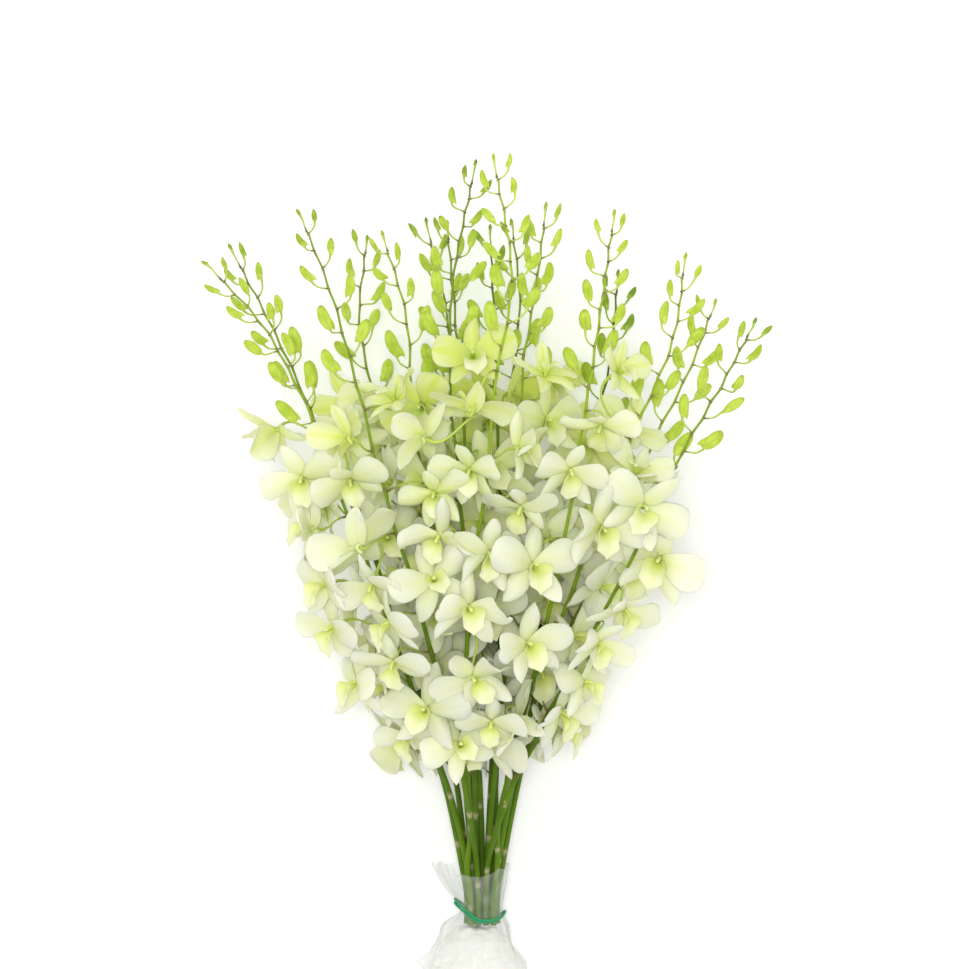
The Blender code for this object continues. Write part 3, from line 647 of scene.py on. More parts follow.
# The outline's two powers and the foot's width, and how high the edges wave. Then each way of standing, with
# what chance adds for a tame flower and what it adds on top for the wildest: angles in degrees, the arch as a
# share of the half width.
SEPAL = {"outline": (0.50, 0.66, 0.50), "wave": 0.020, "turn": (0, 6, 7), "lift": (8, 12, 16),
         "curl": (36, 20, 45), "arch": (-0.40, 0.20, 0.35), "twist": (0, 26, 44), "bend": (0, 20, 0)}
PETAL = {"outline": (0.95, 0.42, 0.16), "wave": 0.034, "turn": (0, 6, 7), "lift": (8, 12, 16),
         "curl": (26, 20, 45), "arch": (-0.22, 0.20, 0.35), "twist": (0, 16, 34), "bend": (0, 10, 0)}
# Where each blade stands round the flower in degrees, its kind, its length and half width as shares of the
# flower's size, and how far behind the centre it starts.
BLADES = ((90, SEPAL, 0.93, 0.235, 0.045), (233, SEPAL, 0.95, 0.255, 0.055), (307, SEPAL, 0.95, 0.255, 0.055),
          (168, PETAL, 1.0, 0.400, 0.0), (12, PETAL, 1.0, 0.400, 0.0))
# What a flower's own chances are: how far its petals stand forward while it is young, how far its lip sags
# and rolls up, and how wild it is, where the power makes wild flowers rarer.
FORWARD_YOUNG = math.radians(26)
FORWARD_CHANCE = (0.3, 1.2)
SAG_DEGREES = (-14, 12)
ROLL_CHANCE = (0.82, 1.08)
TAMENESS = 1.2
# A flower is greener the nearer it is to the tips: from this height above the band, over this span.
FIRST_GREEN = 0.275
GREEN_SPAN = 0.110
GREEN_DRIFT = 0.030
CREAM_WHITE = (0.850, 0.865, 0.600)
CLEAR_WHITE = (0.890, 0.895, 0.720)
VEIN_WHITE = (0.800, 0.850, 0.450)
LIME_OF_YOUTH_AND_SHADE = (0.655, 0.765, 0.170)
LIP_CREAM = ((0.800, 0.830, 0.450), (0.850, 0.870, 0.570))
LIP_THROAT = ((0.640, 0.725, 0.200), (0.500, 0.650, 0.100))
LIP_STRIPE = (0.560, 0.660, 0.120)
chance = np.random.default_rng(7)


def rows_to_tip(rows, crowding):
    """How far along a blade each row is. The rows crowd towards the tip, and the last is just short of it."""
    return LAST_ROW * (1 - (1 - np.linspace(0, 1, rows)) ** crowding)


def sheet(middle, thickness):
    """A thin closed sheet round a middle surface (sheets, rows, columns, 3). Its columns run as a cosine from
    edge to edge, and the thickness follows the sine, so that the section is a flat lens."""
    upright = unit(np.cross(np.gradient(middle, axis=1), np.gradient(middle, axis=2)))
    angle = np.linspace(0, np.pi, middle.shape[2])
    rise = upright * np.sin(angle)[:, None] * thickness / 2
    return np.concatenate([middle + rise, (middle - rise)[:, :, -2:0:-1]], axis=2)


def sheet_marks(along, columns):
    """The marks along and across for a sheet's points."""
    across = np.cos(np.linspace(0, np.pi, columns))
    around = np.concatenate([across, across[-2:0:-1]])
    size = (len(along), len(around))
    return np.broadcast_to(along[:, None], size)[None], np.broadcast_to(around, size)[None]


def bell(u, a, b):
    """An outline's half width: u to the power a times (1 - u) to the power b, scaled to reach 1."""
    peak = a / (a + b)
    return (u**a * (1 - u)**b) / (peak**a * (1 - peak)**b)


def blades(flower, outline, turn, length, half_width, lift, curl, arch, twist, bend, behind, wave):
    """Petals or sepals, one for each flower. The midrib leaves the centre at the angle `turn` in the flower's
    plane, and veers by `bend` on its way out. It rises towards the front by `lift`, less `curl` times the way
    along to the power 1.5. The outline is a bell with a widened foot. Across it the blade arches by `arch`
    times the square of the way across, it twists by `twist` times the way along, and its edges wave as a
    slanted sine."""
    right, upward, facing = flower["right"], flower["upward"], flower["facing"]
    u = rows_to_tip(BLADE_ROWS, BLADE_CROWDING)
    a, b, foot = outline
    foot = foot * (1 - u) ** 2
    half = (foot + (1 - foot) * bell(np.maximum(u, 1e-4), a, b))[None] * half_width[:, None]
    heading = turn[:, None] + bend[:, None] * u[None]
    slope = lift[:, None] - curl[:, None] * u[None] ** 1.5
    flat = np.cos(heading)[..., None] * right[:, None] + np.sin(heading)[..., None] * upward[:, None]
    ahead = np.cos(slope)[..., None] * flat + np.sin(slope)[..., None] * facing[:, None]
    steps = np.diff(u, prepend=0.0)[None, :, None] * length[:, None, None]
    start = flower["centre"] - facing * behind[:, None]
    midrib = np.cumsum(ahead * steps, axis=1) + start[:, None]
    side = unit(np.cross(facing[:, None], ahead))
    normal = unit(np.cross(ahead, side))
    roll = (twist[:, None] * u[None])[..., None]
    side, normal = side * np.cos(roll) + normal * np.sin(roll), normal * np.cos(roll) - side * np.sin(roll)
    v = np.cos(np.linspace(0, np.pi, BLADE_COLUMNS))
    # Each blade's waves start at a place of their own, which follows from its turn and length.
    phase = (turn * 7 + length * 900)[:, None, None]
    waves = np.sin(2 * np.pi * (RIPPLES_ALONG * u[None, :, None] + RIPPLES_ACROSS * v) + phase)
    ripples = waves * v**2 * u[None, :, None]
    rise = arch[:, None, None] * v**2 * half[:, :, None] + ripples * (wave * length)[:, None, None]
    # The arch shortens the blade's span a little, as a bent sheet does.
    span = half[:, :, None] * v * (1 - ARCH_SHORTENING * np.abs(arch[:, None, None]) * v**2)
    middle = midrib[:, :, None] + side[:, :, None] * span[..., None] + normal[:, :, None] * rise[..., None]
    return sheet(middle, PETAL_THICKNESS), *sheet_marks(u, BLADE_COLUMNS)


LIP_ROWS = 17
LIP_COLUMNS = 11
LIP_CROWDING = 1.35
LIP_LENGTH = 0.72
LIP_BELOW = 0.07
LIP_BEHIND = 0.03
LIP_THICKNESS = PETAL_THICKNESS * 1.1
# The keel's angles in degrees: forward of straight down where it starts, its even drop, and its hook's.
KEEL_FORWARD = 78
KEEL_DROP = 26
KEEL_HOOK = 50
# The claw's half width, then each lobe's reach beyond it, its place along the lip and its own width.
CLAW = 0.08
SIDE_LOBES = (0.33, 0.40, 0.19)
FRONT_LOBE = (0.21, 0.76, 0.17)
POINTED_FROM = 0.52
FUNNEL_OPEN = 14
FUNNEL_CLOSED = 142
OPENING_FROM = 0.22
OPENING_SPAN = 0.60
FRILL = 0.024
FRILLED_FROM = 0.30
FRILLED_SPAN = 0.3
FRILLS_ALONG = 3.4
FRILLS_ACROSS = 0.8
# Each ridge's height, its place to either side of the middle and its width.
RIDGES = ((0.018, 0, 0.12), (0.0126, 0.36, 0.1))


def lips(flower):
    """The lip. Its keel drops evenly, and by its hook as the way along to the power 2.2. The half width is a
    claw with a hump for the side lobes and one for the front lobe, drawn to a point. The section is an arc,
    whose half angle falls from nearly closed round the column to nearly flat, with frilled edges and three
    ridges down the middle."""
    right, upward, facing, size = flower["right"], flower["upward"], flower["facing"], flower["size"]
    sizes = size[:, None, None]
    u = rows_to_tip(LIP_ROWS, LIP_CROWDING)
    slope = np.radians(KEEL_FORWARD - KEEL_DROP * u - KEEL_HOOK * u**2.2)[None] + flower["sag"][:, None]
    ahead = np.sin(slope)[..., None] * facing[:, None] - np.cos(slope)[..., None] * upward[:, None]
    steps = np.diff(u, prepend=0.0)[None, :, None] * (sizes * LIP_LENGTH)
    start = flower["centre"] - upward * (size * LIP_BELOW)[:, None] - facing * (size * LIP_BEHIND)[:, None]
    keel = np.cumsum(ahead * steps, axis=1) + start[:, None]
    lobes = CLAW + sum(reach * hump(u, place, width) for reach, place, width in (SIDE_LOBES, FRONT_LOBE))
    lobes = lobes * (1 - ramp(u, POINTED_FROM, 1 - POINTED_FROM) ** 1.8) ** 0.75
    half = lobes[None] * size[:, None]
    spread = ramp(u, OPENING_FROM, OPENING_SPAN)
    closed = 1 - spread**2 * (3 - 2 * spread)
    opening = np.radians(FUNNEL_OPEN + (FUNNEL_CLOSED - FUNNEL_OPEN) * closed)[None] * flower["roll"][:, None]
    v = np.cos(np.linspace(0, np.pi, LIP_COLUMNS))
    angle = opening[..., None] * v
    radius = half / opening
    phase = flower["phase"][:, None, None]
    waves = np.sin(2 * np.pi * (FRILLS_ALONG * u[None, :, None] + FRILLS_ACROSS * v) + phase)
    frill = FRILL * sizes * waves * np.abs(v) ** 3 * ramp(u, FRILLED_FROM, FRILLED_SPAN)[None, :, None]
    ridges = sizes * sum(height * hump(np.abs(v), place, width) for height, place, width in RIDGES)
    ridges = ridges * (np.clip(u * 4, 0, 1) * np.clip((0.8 - u) * 4, 0, 1))[None, :, None]
    across = radius[..., None] * np.sin(angle)
    rise = radius[..., None] * (1 - np.cos(angle)) + frill + ridges
    inward = unit(np.cross(np.broadcast_to(right[:, None], ahead.shape), ahead))
    inward = inward * np.sign((inward * (facing + upward)[:, None]).sum(axis=-1, keepdims=True))
    sideways = right[:, None, None] * across[..., None]
    middle = keel[:, :, None] + sideways + inward[:, :, None] * rise[..., None]
    return sheet(middle, LIP_THICKNESS), *sheet_marks(u, LIP_COLUMNS)


# A curve of four points, each forward and up from the flower's centre, then the radii at shares of the way
# along, all as shares of the flower's size. The column stands in the lip's funnel and leans over its floor.
# The spur is the small chin behind the lower sepals, beside the stalk.
COLUMN = {"curve": ((-0.04, 0), (0.06, 0.04), (0.23, 0.04), (0.23, -0.01)),
          "shares": (0, 0.3, 0.75, 0.93, 1.0), "radii": (0.052, 0.042, 0.046, 0.036, 0.010)}
SPUR = {"curve": ((-0.02, 0), (-0.09, -0.007), (-0.13, -0.10), (-0.13, -0.15)),
        "shares": (0, 0.45, 0.85, 1.0), "radii": (0.085, 0.062, 0.034, 0.010)}
COLUMN_STOPS = 8
COLUMN_AROUND = 10
COLUMN_ALONG = (0.10, 0.40)
SPUR_ALONG = 0.08


def bent_tubes(flower, shape):
    """A column or a spur on each flower: rings along a cubic curve, whose radii run straight from share to
    share."""
    scale = flower["size"][:, None]
    curve = [flower["centre"] + (flower["facing"] * out + flower["upward"] * up) * scale
             for out, up in shape["curve"]]
    radii = np.interp(np.linspace(0, 1, COLUMN_STOPS), shape["shares"], shape["radii"])
    return tubes(bezier(*curve, COLUMN_STOPS), scale * radii, COLUMN_AROUND)


def petal_finish():
    """Waxy white with faint veins, greener along the midrib, and lime all over on a young flower. Towards the
    centre it is greener, partly from the petals' own green base and partly as painted shade: the lime that
    light takes on between the flowers."""
    finish = Finish("petal_skin", Roughness=0.50, Subsurface_Weight=0.55, Subsurface_Scale=0.0028,
                    Subsurface_Radius=(1.0, 1.0, 0.5), Specular_IOR_Level=0.28)
    along, across, ripe = finish.mark("along"), finish.mark("across"), finish.mark("young")
    cloud = finish.noise(38.0, 2.0)
    vein = finish.node("Math", {"operation": "SINE"}, across * 40.0 + finish.noise(90.0, 1.0) * 5.0)
    white = finish.blend(cloud, CREAM_WHITE, CLEAR_WHITE)
    white = finish.blend(finish.smooth(vein, 0.2, 1.0) * 0.18, white, VEIN_WHITE)
    # The green at the base is partly the petals' own and partly painted shade, the lime of light between the
    # flowers.
    green = (1.0 - along) ** 1.6 * 0.60 + finish.smooth(cloud, 0.3, 0.8) * 0.08
    midrib = 1.0 - finish.smooth(across * across, 0.0, 0.08)
    green = green + ripe * (0.66 + 0.26 * midrib) + midrib * 0.08
    finish.wire("Base Color", finish.blend(finish.node("Clamp", None, green), white, LIME_OF_YOUTH_AND_SHADE))
    cell = finish.noise(2400.0, 2.0)
    finish.wire("Normal", finish.bump(vein * 0.5 + cell * 0.4, 0.22, 0.00025))
    return finish.material


def lip_finish():
    """Cream at the front, with a lime throat and a stripe down the middle."""
    finish = Finish("lip_skin", Roughness=0.45, Subsurface_Weight=0.40, Subsurface_Scale=0.0020,
                    Subsurface_Radius=(1.0, 1.0, 0.5), Specular_IOR_Level=0.35)
    along, across, ripe = finish.mark("along"), finish.mark("across"), finish.mark("young")
    cream = finish.blend(finish.noise(50.0), *LIP_CREAM)
    throat = finish.blend(ripe, *LIP_THROAT)
    colour = finish.blend(finish.smooth(along, 0.15, 0.70), throat, cream)
    stripe = (1.0 - finish.smooth(across * across, 0.01, 0.20)) * (1.0 - along) * 0.5
    finish.wire("Base Color", finish.blend(stripe, colour, LIP_STRIPE))
    finish.wire("Normal", finish.bump(finish.noise(900.0), 0.15, 0.0003))
    return finish.material


TABLE_GIVE = 0.004
TOP_GIVE = 0.004


def settled(points):
    """Points lower than TABLE_GIVE are pressed towards the table, as an exponential that never reaches it.
    Those above the frame's top are drawn back the same way, to less than TOP_GIVE above it."""
    height = points[..., 2]
    pressed = TABLE_GIVE * np.exp(np.minimum(height / TABLE_GIVE - 1, 0))
    height = np.where(height < TABLE_GIVE, pressed, height)
    over = np.maximum(height - cad_box[1][2], 0)
    height = height - over + TOP_GIVE * (1 - np.exp(-over / TOP_GIVE))
    return np.concatenate([points[..., :2], height[..., None]], axis=-1)


def flower_arrays(plan, tone):
    """The spray's flowers as arrays, with each one's own chances. Among them is how wild a flower is, which
    later folds and curls its blades more.
    """
    keys = ("centre", "facing", "upward", "radius", "lift")
    flower = {key: np.array([f[key] for f in plan.flowers]) for key in keys}
    many = len(plan.flowers)
    flower["right"] = np.cross(flower["upward"], flower["facing"])
    flower["size"] = flower["radius"] * FLOWER_GROWTH
    flower["phase"] = chance.uniform(0, 6.28, many)
    flower["sag"] = np.radians(chance.uniform(*SAG_DEGREES, many))
    flower["roll"] = chance.uniform(*ROLL_CHANCE, many)
    flower["wild"] = chance.uniform(0, 1, many) ** TAMENESS
    height = flower["centre"][:, 1] - band_middle[1]
    # The tone term makes flowers on a darker spray a little greener: partly painted shade, the lime that
    # light takes on deep in the bunch.
    drift = chance.uniform(-GREEN_DRIFT, GREEN_DRIFT, many) + GREEN_DRIFT * (0.5 - tone)
    flower["young"] = ramp(height + drift, FIRST_GREEN, GREEN_SPAN) ** 1.2
    # Petals of a flower that has just opened still stand forward.
    forward = FORWARD_YOUNG * flower["young"] * chance.uniform(*FORWARD_CHANCE, many)
    flower["open"] = np.arctan(flower["lift"]) + forward
    return flower


def strayed(kind, way, wild, draw):
    """A blade's way of standing on each flower: its own value plus chance, which counts more if it's wild."""
    own, tame, more = kind[way]
    return own + (tame + more * wild) * draw


FLOWER_FINISHES = [petal_finish(), lip_finish()]
for node, plan in plans.items():
    flower = flower_arrays(plan, tones_with_painted_light[node])
    gathered = Surfaces()
    size, wild = flower["size"], flower["wild"]
    young = flower["young"][:, None, None]
    for turn, kind, length, half_width, behind in BLADES:
        draws = chance.uniform(-1, 1, (8, len(size)))
        rings, along, across = blades(
            flower, kind["outline"],
            turn=np.radians(turn + strayed(kind, "turn", wild, draws[0])),
            length=size * length * (1 + LENGTH_CHANCE * draws[1]),
            half_width=size * half_width * (1 + WIDTH_CHANCE * draws[2] - YOUNG_NARROWING * flower["young"]),
            lift=flower["open"] + np.radians(strayed(kind, "lift", wild, draws[3])),
            curl=np.radians(strayed(kind, "curl", wild, draws[4])),
            arch=strayed(kind, "arch", wild, draws[5]),
            twist=np.radians(strayed(kind, "twist", wild, draws[6])),
            bend=np.radians(strayed(kind, "bend", wild, draws[7])),
            behind=size * behind,
            wave=kind["wave"] * (1 + wild))
        gathered.add(settled(rings), 0, along=along, across=across, young=young)
    rings, along, across = lips(flower)
    gathered.add(settled(rings), 1, along=along, across=across, young=young)
    edge = np.ones((1, 1, 1))
    column_along = np.linspace(*COLUMN_ALONG, COLUMN_STOPS)[None, :, None]
    gathered.add(settled(bent_tubes(flower, COLUMN)), 1, along=column_along, across=edge, young=young)
    gathered.add(settled(bent_tubes(flower, SPUR)), 0, along=edge * SPUR_ALONG, across=edge, young=young)
    gathered.piece(node + "_flowers", FLOWER_FINISHES, node)


# Buds
# A bud is a closed flower: a slim lime drop of three sepals whose seams show as faint grooves, with a blunt
# tip. Its chin is a small pointed heel at the foot, on the side of the stem. Its stalk comes in beside that.
BUD_ROWS = 16
BUD_AROUND = 18
BUD_GROWTH = 0.90
SMALL_BUD_GROWTH = 0.76
BUD_LENGTHS = (0.70, 0.90)
SMALL_BUD_LENGTHENING = 0.14
FULL_BUD = 0.0195
YOUNG_SPAN = 0.0125
BUD_BOW = (-0.09, 0.02)
BASE_BEHIND = 0.12
BASE_ASIDE = 0.35
HEEL_CHANCE = (0.5, 1.15)
HEEL_SWAY = 0.45
GROOVE_DEPTH = 0.045
GROOVE_WIDTH = 0.26
HEEL_STOPS = 9
HEEL_AROUND = 12
HEEL_SHARES = (0, 0.3, 0.6, 0.85, 1)
HEEL_RADII = (0.74, 0.68, 0.44, 0.18, 0.04)
HEEL_ALONG = (0.34, 0.06)
# The heel's curve as four points: how far along the bud and what the heel's chance adds, as shares of the
# bud's length, then how far aside and what the chance adds, as shares of its radius.
HEEL_CURVE = ((0.34, 0, 0.10, 0), (0.14, 0, 0.35, 0), (0.14, -0.10, 0.35, 0.65), (0, -0.10, 0.35, 0.65))
# A bud is darker if it is small, and if its spray's tone is under this one. The tone is partly painted
# shade for sprays that lie under the bunch.
SMALL_DARKNESS = 0.80
SPRAY_DARKNESS = 0.85
MIDDLE_TONE = 0.58
BIG_BUD = ((0.410, 0.560, 0.028), (0.560, 0.700, 0.090))
SMALL_BUD = ((0.125, 0.235, 0.008), (0.220, 0.360, 0.018))
FOOT_LIME = (0.680, 0.780, 0.140)
TIP_OLIVE = (0.190, 0.190, 0.040)
SEAM_SHADE_GREEN = (0.270, 0.400, 0.040)


def bud_finish():
    """Lime, with darker green on a small bud and as painted shade on a spray under the bunch. It has a paler
    foot, an olive tip, and seams painted darker as shade in their grooves.
    """
    finish = Finish("bud_skin", Roughness=0.42, Subsurface_Weight=0.20, Subsurface_Scale=0.0022,
                    Subsurface_Radius=(0.8, 1.0, 0.3), Specular_IOR_Level=0.25)
    along, young, seam = finish.mark("along"), finish.mark("young"), finish.mark("seam")
    cloud = finish.smooth(finish.noise(120.0), 0.3, 0.7)
    colour = finish.blend(finish.smooth(young, 0.15, 1.0), finish.blend(cloud, *BIG_BUD),
                          finish.blend(cloud, *SMALL_BUD))
    colour = finish.blend((1.0 - finish.smooth(along, 0.0, 0.45)) * 0.45, colour, FOOT_LIME)
    colour = finish.blend(finish.smooth(along, 0.82, 1.0) * (0.35 + young * 0.5), colour, TIP_OLIVE)
    # The seams are painted darker, as shade in their grooves.
    finish.wire("Base Color", finish.blend(seam * 0.42, colour, SEAM_SHADE_GREEN))
    finish.wire("Normal", finish.bump(finish.noise(1100.0), 0.12, 0.0003))
    return finish.material


def buds(plan):
    """Each bud's rings: radius is a drop, the way along to the power 0.50 times the way back to a power from
    0.50 to 0.75, which is more for a small bud. Its axis bows as a sine, and three grooves run along it. The
    bud's base lies beside the stalk's end, and the heel is a bent cone from there towards the stem."""
    tip, foot, ahead = [np.array([b[key] for b in plan.buds]) for key in ("tip", "foot", "facing")]
    many = len(tip)
    full = np.linalg.norm(tip - foot, axis=1)
    small = np.clip((FULL_BUD - full) / YOUNG_SPAN, 0, 1)
    length = (full * chance.uniform(*BUD_LENGTHS, many) * (1 + SMALL_BUD_LENGTHENING * small))[:, None]
    growth = BUD_GROWTH + (SMALL_BUD_GROWTH - BUD_GROWTH) * small
    radius = (np.array([b["radius"] for b in plan.buds]) * growth)[:, None]
    to_stem = unit(np.array([b["stalk"][0] for b in plan.buds]) - foot)
    to_stem = to_stem + chance.uniform(-HEEL_SWAY, HEEL_SWAY, (many, 3))
    heel_side = unit(to_stem - ahead * (to_stem * ahead).sum(axis=1, keepdims=True))
    t = 0.5 - 0.5 * np.cos(np.pi * np.linspace(0, 1, BUD_ROWS))
    bow = (heel_side * length * chance.uniform(*BUD_BOW, many)[:, None])[:, None]
    base = foot - ahead * length * BASE_BEHIND + heel_side * radius * BASE_ASIDE
    ahead = unit(foot + ahead * length * (1 - BASE_BEHIND) - base)
    axis = base[:, None] + (ahead * length)[:, None] * t[None, :, None]
    axis = axis + bow * (np.sin(np.pi * t) ** 1.2)[None, :, None]
    drop = (t + 0.02) ** 0.50 * (1.004 - t) ** (0.50 + 0.25 * small[:, None])
    rings = tubes(axis, radius * drop / drop.max(axis=1, keepdims=True), BUD_AROUND)
    angle = np.linspace(0, 2 * np.pi, BUD_AROUND, endpoint=False)
    groove = hump(np.sin(1.5 * angle), 0, GROOVE_WIDTH)[None, None] * np.sin(np.pi * t)[None, :, None]
    rings = axis[:, :, None] + (rings - axis[:, :, None]) * (1 - GROOVE_DEPTH * groove)[..., None]
    heel = chance.uniform(*HEEL_CHANCE, many)[:, None]
    curve = [base + ahead * length * (along + less * heel) + heel_side * radius * (aside + more * heel)
             for along, less, aside, more in HEEL_CURVE]
    thin = np.interp(np.linspace(0, 1, HEEL_STOPS), HEEL_SHARES, HEEL_RADII)
    return rings, tubes(bezier(*curve, HEEL_STOPS), radius * thin, HEEL_AROUND), t, groove, small


BUD_FINISHES = [bud_finish()]
for node, plan in plans.items():
    rings, heels, t, seam, small = buds(plan)
    gathered = Surfaces()
    # The spray's share here is partly painted shade: buds on sprays under the bunch come out darker.
    young = np.clip(SMALL_DARKNESS * small + SPRAY_DARKNESS * (MIDDLE_TONE - tones_with_painted_light[node]), 0, 1)
    young = young[:, None, None]
    gathered.add(rings, 0, along=t[None, :, None], young=young, seam=seam)
    heel_along = np.linspace(*HEEL_ALONG, HEEL_STOPS)[None, :, None]
    gathered.add(heels, 0, along=heel_along, young=young, seam=np.zeros((1, 1, 1)))
    gathered.piece(node + "_buds", BUD_FINISHES, node)


# The bag
# A clear thin film bag holds the cut ends in wet cotton wool. It is gathered under the rubber band, and above
# the band its mouth stands open round the stems, with a pinched fold that sticks out at the left.
FILM_ROWS = 84
FILM_AROUND = 120
FILM_THICKNESS = 0.00025
TABLE_GAP = 0.0002
SECTION_STEP = 0.0015
SMOOTHED_ROWS = 9
# Distances from the band here are in millimetres. The film is tight next to the band and loosens over a span.
TIGHT_REACH = 4
LOOSENING = 22
MOUTH_FROM = 8
MOUTH_SPAN = 14
LOWER_FOLD = -37
GATHER_WAVES = [(9, 0.02), (14, 0.05), (19, -0.04), (25, 0.03)]
CREASE_WAVES = [(2, 0.16), (3, -0.13), (5, 0.09), (4, 0.21)]
MOUTH_WAVES = [(7, 0), (11, 0), (16, 0)]
POUCH_GATHERS = 0.0009
POUCH_CREASES = 0.0016
MOUTH_GATHERS = 0.0005
MOUTH_CREASES = 0.0007
MOUTH_FOLD = 0.0030
POUCH_FOLD = 0.0065
RIM_LEFT = 0.16
RIM_TOP = -0.24
RIM_RIGHT = 0.06
RIM_WAVE = 0.03
HAZY_FILM = ((0.760, 0.790, 0.730), (0.860, 0.870, 0.830))


def smooth_sections(node, rows):
    """For even rows along a node: how far along, the middle across and up, and the half widths across and up.
    They come from the node's flat rings of points, and are rounded off where the rings make corners."""
    points, _ = merged(node)
    steps = np.round(points[:, 1] / SECTION_STEP)
    found = []
    for step in np.unique(steps):
        ring = points[steps == step]
        if len(ring) > 8:
            low, high = ring.min(axis=0), ring.max(axis=0)
            found.append((ring[:, 1].mean(), *(low + high)[[0, 2]] / 2, *(high - low)[[0, 2]] / 2))
    along, *values = np.array(sorted(found)).T
    even = np.linspace(along[0], along[-1], rows)
    kernel = np.hanning(SMOOTHED_ROWS) / np.hanning(SMOOTHED_ROWS).sum()
    padded = [np.pad(np.interp(even, along, value), SMOOTHED_ROWS // 2, mode="edge") for value in values]
    return even[:, None], *[np.convolve(row, kernel, mode="valid")[:, None] for row in padded]


def ripple(u, v, waves, seed):
    """A sum of sines of two coordinates, between -1 and 1 or so. waves is a list of the two frequencies."""
    start = np.random.default_rng(seed).uniform(0, 2 * np.pi, len(waves))
    return sum(np.sin(k * u + m * v + s) for (k, m), s in zip(waves, start)) / len(waves) ** 0.5


def film_finish():
    """Clear film with a faint haze, which shows most where it is seen edge on."""
    finish = Finish("clear_film", Roughness=0.24, IOR=1.45, Specular_IOR_Level=0.35)
    edge = finish.node("LayerWeight", None, 0.30, output="Facing")
    haze = finish.noise(70.0, 2.0)
    cover = 0.050 + edge * 0.30 + finish.smooth(haze, 0.45, 0.80) * 0.06
    finish.wire("Base Color", finish.blend(haze, *HAZY_FILM))
    finish.wire("Alpha", finish.node("Clamp", None, cover))
    finish.wire("Normal", finish.bump(haze, 0.15, 0.0010))
    return finish.material


y, middle_x, middle_z, half_x, half_z = smooth_sections("poly_bag", FILM_ROWS)
theta = np.linspace(0, 2 * np.pi, FILM_AROUND, endpoint=False)[None, :]
from_band = (y - band_middle[1]) * 1000
loose = ramp(np.abs(from_band + 1), TIGHT_REACH, LOOSENING)
gathers = ripple(theta, from_band, GATHER_WAVES, 3)
creases = 1 - 2 * np.abs(ripple(theta, from_band, CREASE_WAVES, 5)) ** 0.6
pouch = POUCH_GATHERS * gathers * (1 - 0.5 * loose) * np.minimum(1, loose * 4)
mouth = MOUTH_GATHERS * gathers * np.minimum(1, loose * 3)
creased = np.where(from_band < 0, POUCH_CREASES, MOUTH_CREASES) * creases * loose
swell = np.where(from_band < 0, pouch, mouth) + creased
# The folds stick out at the left, where theta is pi.
left = np.abs(theta - np.pi)
opened = ramp(from_band, MOUTH_FROM, MOUTH_SPAN)
upper_fold = MOUTH_FOLD * hump(left, 0, 0.16) * opened ** 0.7
lower_fold = POUCH_FOLD * hump(left, 0, 0.22) * hump(from_band, LOWER_FOLD, 5)
reach = swell + upper_fold + lower_fold
# The mouth's rim is longer at the left and shorter on top.
rim = 1 + opened * (RIM_LEFT * hump(left, 0, 0.6) + RIM_TOP * hump(theta, 1.45, 0.8)
                    + RIM_RIGHT * np.cos(theta) + RIM_WAVE * ripple(theta, 0 * theta, MOUTH_WAVES, 8))
stretched = np.where(from_band > MOUTH_FROM, MOUTH_FROM + (from_band - MOUTH_FROM) * rim, from_band)
film_y = band_middle[1] + stretched * 0.001


def film_wall(inset):
    """The film's outer wall, or its inner one at an inset: ellipses on the bag's half widths, with the
    gathers, creases and folds added, and never through the table."""
    x = middle_x + (half_x + reach - inset) * np.cos(theta)
    z = middle_z + (half_z + swell - inset) * np.sin(theta)
    return np.stack(np.broadcast_arrays(x, film_y, np.maximum(z, TABLE_GAP + inset)), axis=2)


film = Surfaces()
outer = film_wall(0.0)
inner = film_wall(FILM_THICKNESS)
inner[0, :, 1] += FILM_THICKNESS
film.add(np.concatenate([outer, inner[::-1]])[None][:, :, ::-1])
film.piece("film", [film_finish()], "poly_bag")


# The cotton wool
# A wad of white cotton wool, soaked and pressed into soft lumps, fills the bag up to the cut ends.
# It is a stack of ellipses on the frame's sections, whose width and place along vary with the lumps.
COTTON_ROWS = 44
COTTON_AROUND = 64
LUMP_WAVES = [(2, 11), (3, -17), (5, 9), (7, 23), (9, -31), (4, 37)]
COTTON_FILL = 0.955
LUMP_DEPTH = 0.035
LUMP_SHIFT = 0.0012
WET_WHITE = ((0.800, 0.805, 0.745), (0.890, 0.890, 0.850))


def cotton_finish():
    """White with slightly darker lumps, and fibres in the bump."""
    finish = Finish("wet_cotton_wool", Roughness=0.9, Subsurface_Weight=0.3, Subsurface_Scale=0.003,
                    Specular_IOR_Level=0.2)
    fibre = finish.noise(420.0, 4.0)
    lump = finish.noise(60.0, 3.0)
    finish.wire("Base Color", finish.blend(lump, *WET_WHITE))
    finish.wire("Normal", finish.bump(fibre * 0.25 + lump, 0.35, 0.0012))
    return finish.material


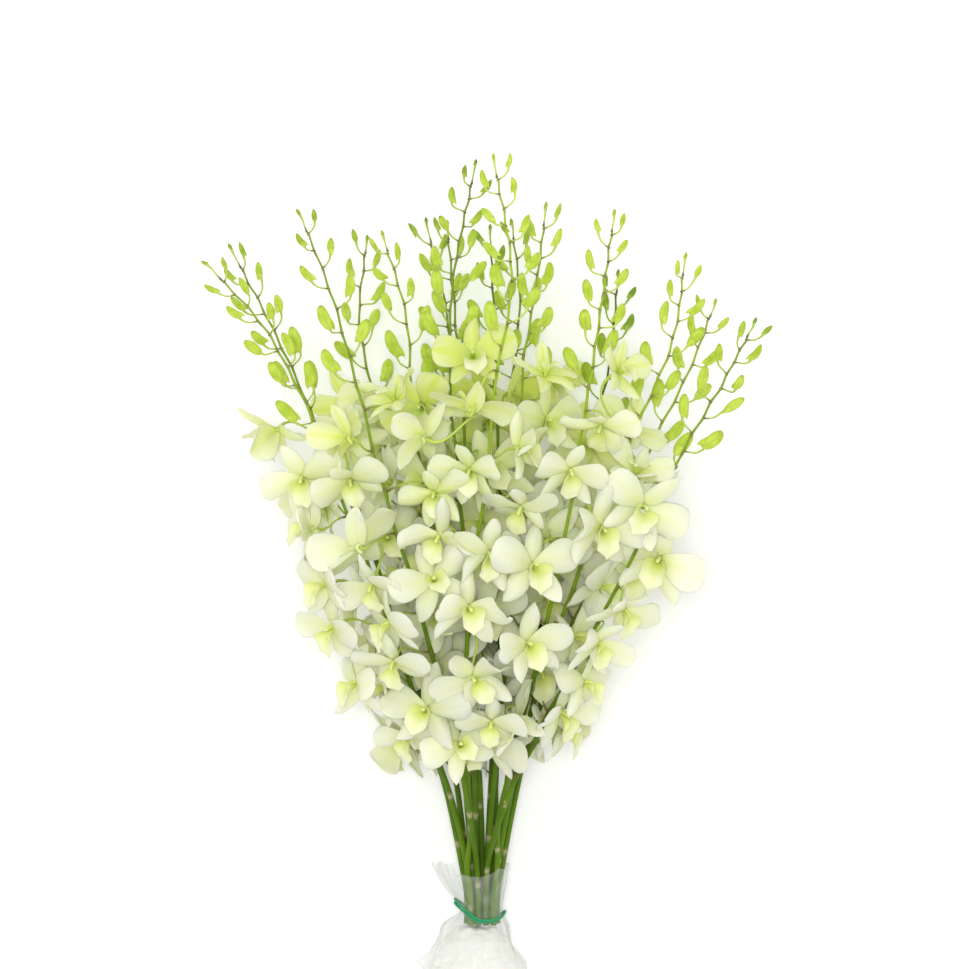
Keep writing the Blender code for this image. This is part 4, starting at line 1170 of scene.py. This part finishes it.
y, middle_x, middle_z, half_x, half_z = smooth_sections("wet_cotton", COTTON_ROWS)
theta = np.linspace(0, 2 * np.pi, COTTON_AROUND, endpoint=False)[None, :]
lumps = ripple(theta, np.linspace(0, 1, COTTON_ROWS)[:, None], LUMP_WAVES, 12)
shrink = COTTON_FILL - LUMP_DEPTH * np.clip(lumps, -1, 1.4)
x = middle_x + half_x * shrink * np.cos(theta)
z = middle_z + half_z * shrink * np.sin(theta)
cotton = Surfaces()
cotton.add(np.stack(np.broadcast_arrays(x, y + LUMP_SHIFT * lumps, z), axis=2)[None][:, :, ::-1])
cotton.piece("cotton", [cotton_finish()], "wet_cotton")


# The rubber band
# A green rubber band goes twice round the gathered neck, so that two strands lie side by side at the left and
# over each other at the right. Each strand is a round tube on the middle line of the frame's band.
BAND_STOPS = 120
BAND_AROUND = 10
BAND_WAVES = 6
STRAND_RADIUS = 0.00085
LEAST_APART = 0.0003
MORE_APART = 0.0011
OVERLAY = 0.0004
RUBBER_GREEN = ((0.018, 0.270, 0.105), (0.030, 0.330, 0.140))


def rubber_finish():
    """Green with a faint mottle."""
    finish = Finish("green_rubber", Roughness=0.5, Specular_IOR_Level=0.4)
    finish.wire("Base Color", finish.blend(finish.noise(300.0), *RUBBER_GREEN))
    return finish.material


def round_fit(angle, values, turn):
    """Values at each turn round the band, from the least squares fit of sines and cosines of 1 to BAND_WAVES
    times the angle, which passes through the middle of the band's own points."""
    waves = np.arange(1, BAND_WAVES + 1)
    known, wanted = [np.concatenate([np.ones((len(a), 1)), np.cos(np.outer(a, waves)),
                                     np.sin(np.outer(a, waves))], axis=1) for a in (angle, turn)]
    return wanted @ np.linalg.lstsq(known, values, rcond=None)[0]


points, _ = merged("rubber_band")
angle = np.arctan2(points[:, 2] - band_middle[2], points[:, 0] - band_middle[0])
turn = np.linspace(0, 2 * np.pi, BAND_STOPS, endpoint=False)
core = round_fit(angle, points, turn)
outward = unit((core - core.mean(axis=0)) * np.array([1, 0, 1]))
rubber = Surfaces()
for side in (1, -1):
    apart = side * (LEAST_APART + MORE_APART * np.sin(turn / 2) ** 2)
    over = side * OVERLAY * np.cos(turn / 2) ** 2
    path = core + np.array([0, 1.0, 0]) * apart[:, None] + outward * over[:, None]
    # Stops beyond either end turn the first and last ring the right way, and are then cut off.
    path = np.concatenate([path[-2:], path, path[:2]])[None]
    ring = tubes(path, np.full(path.shape[:2], STRAND_RADIUS), BAND_AROUND)[:, 2:-1]
    ring[:, -1] = ring[:, 0]
    rubber.add(ring)
rubber.piece("band", [rubber_finish()], "rubber_band")
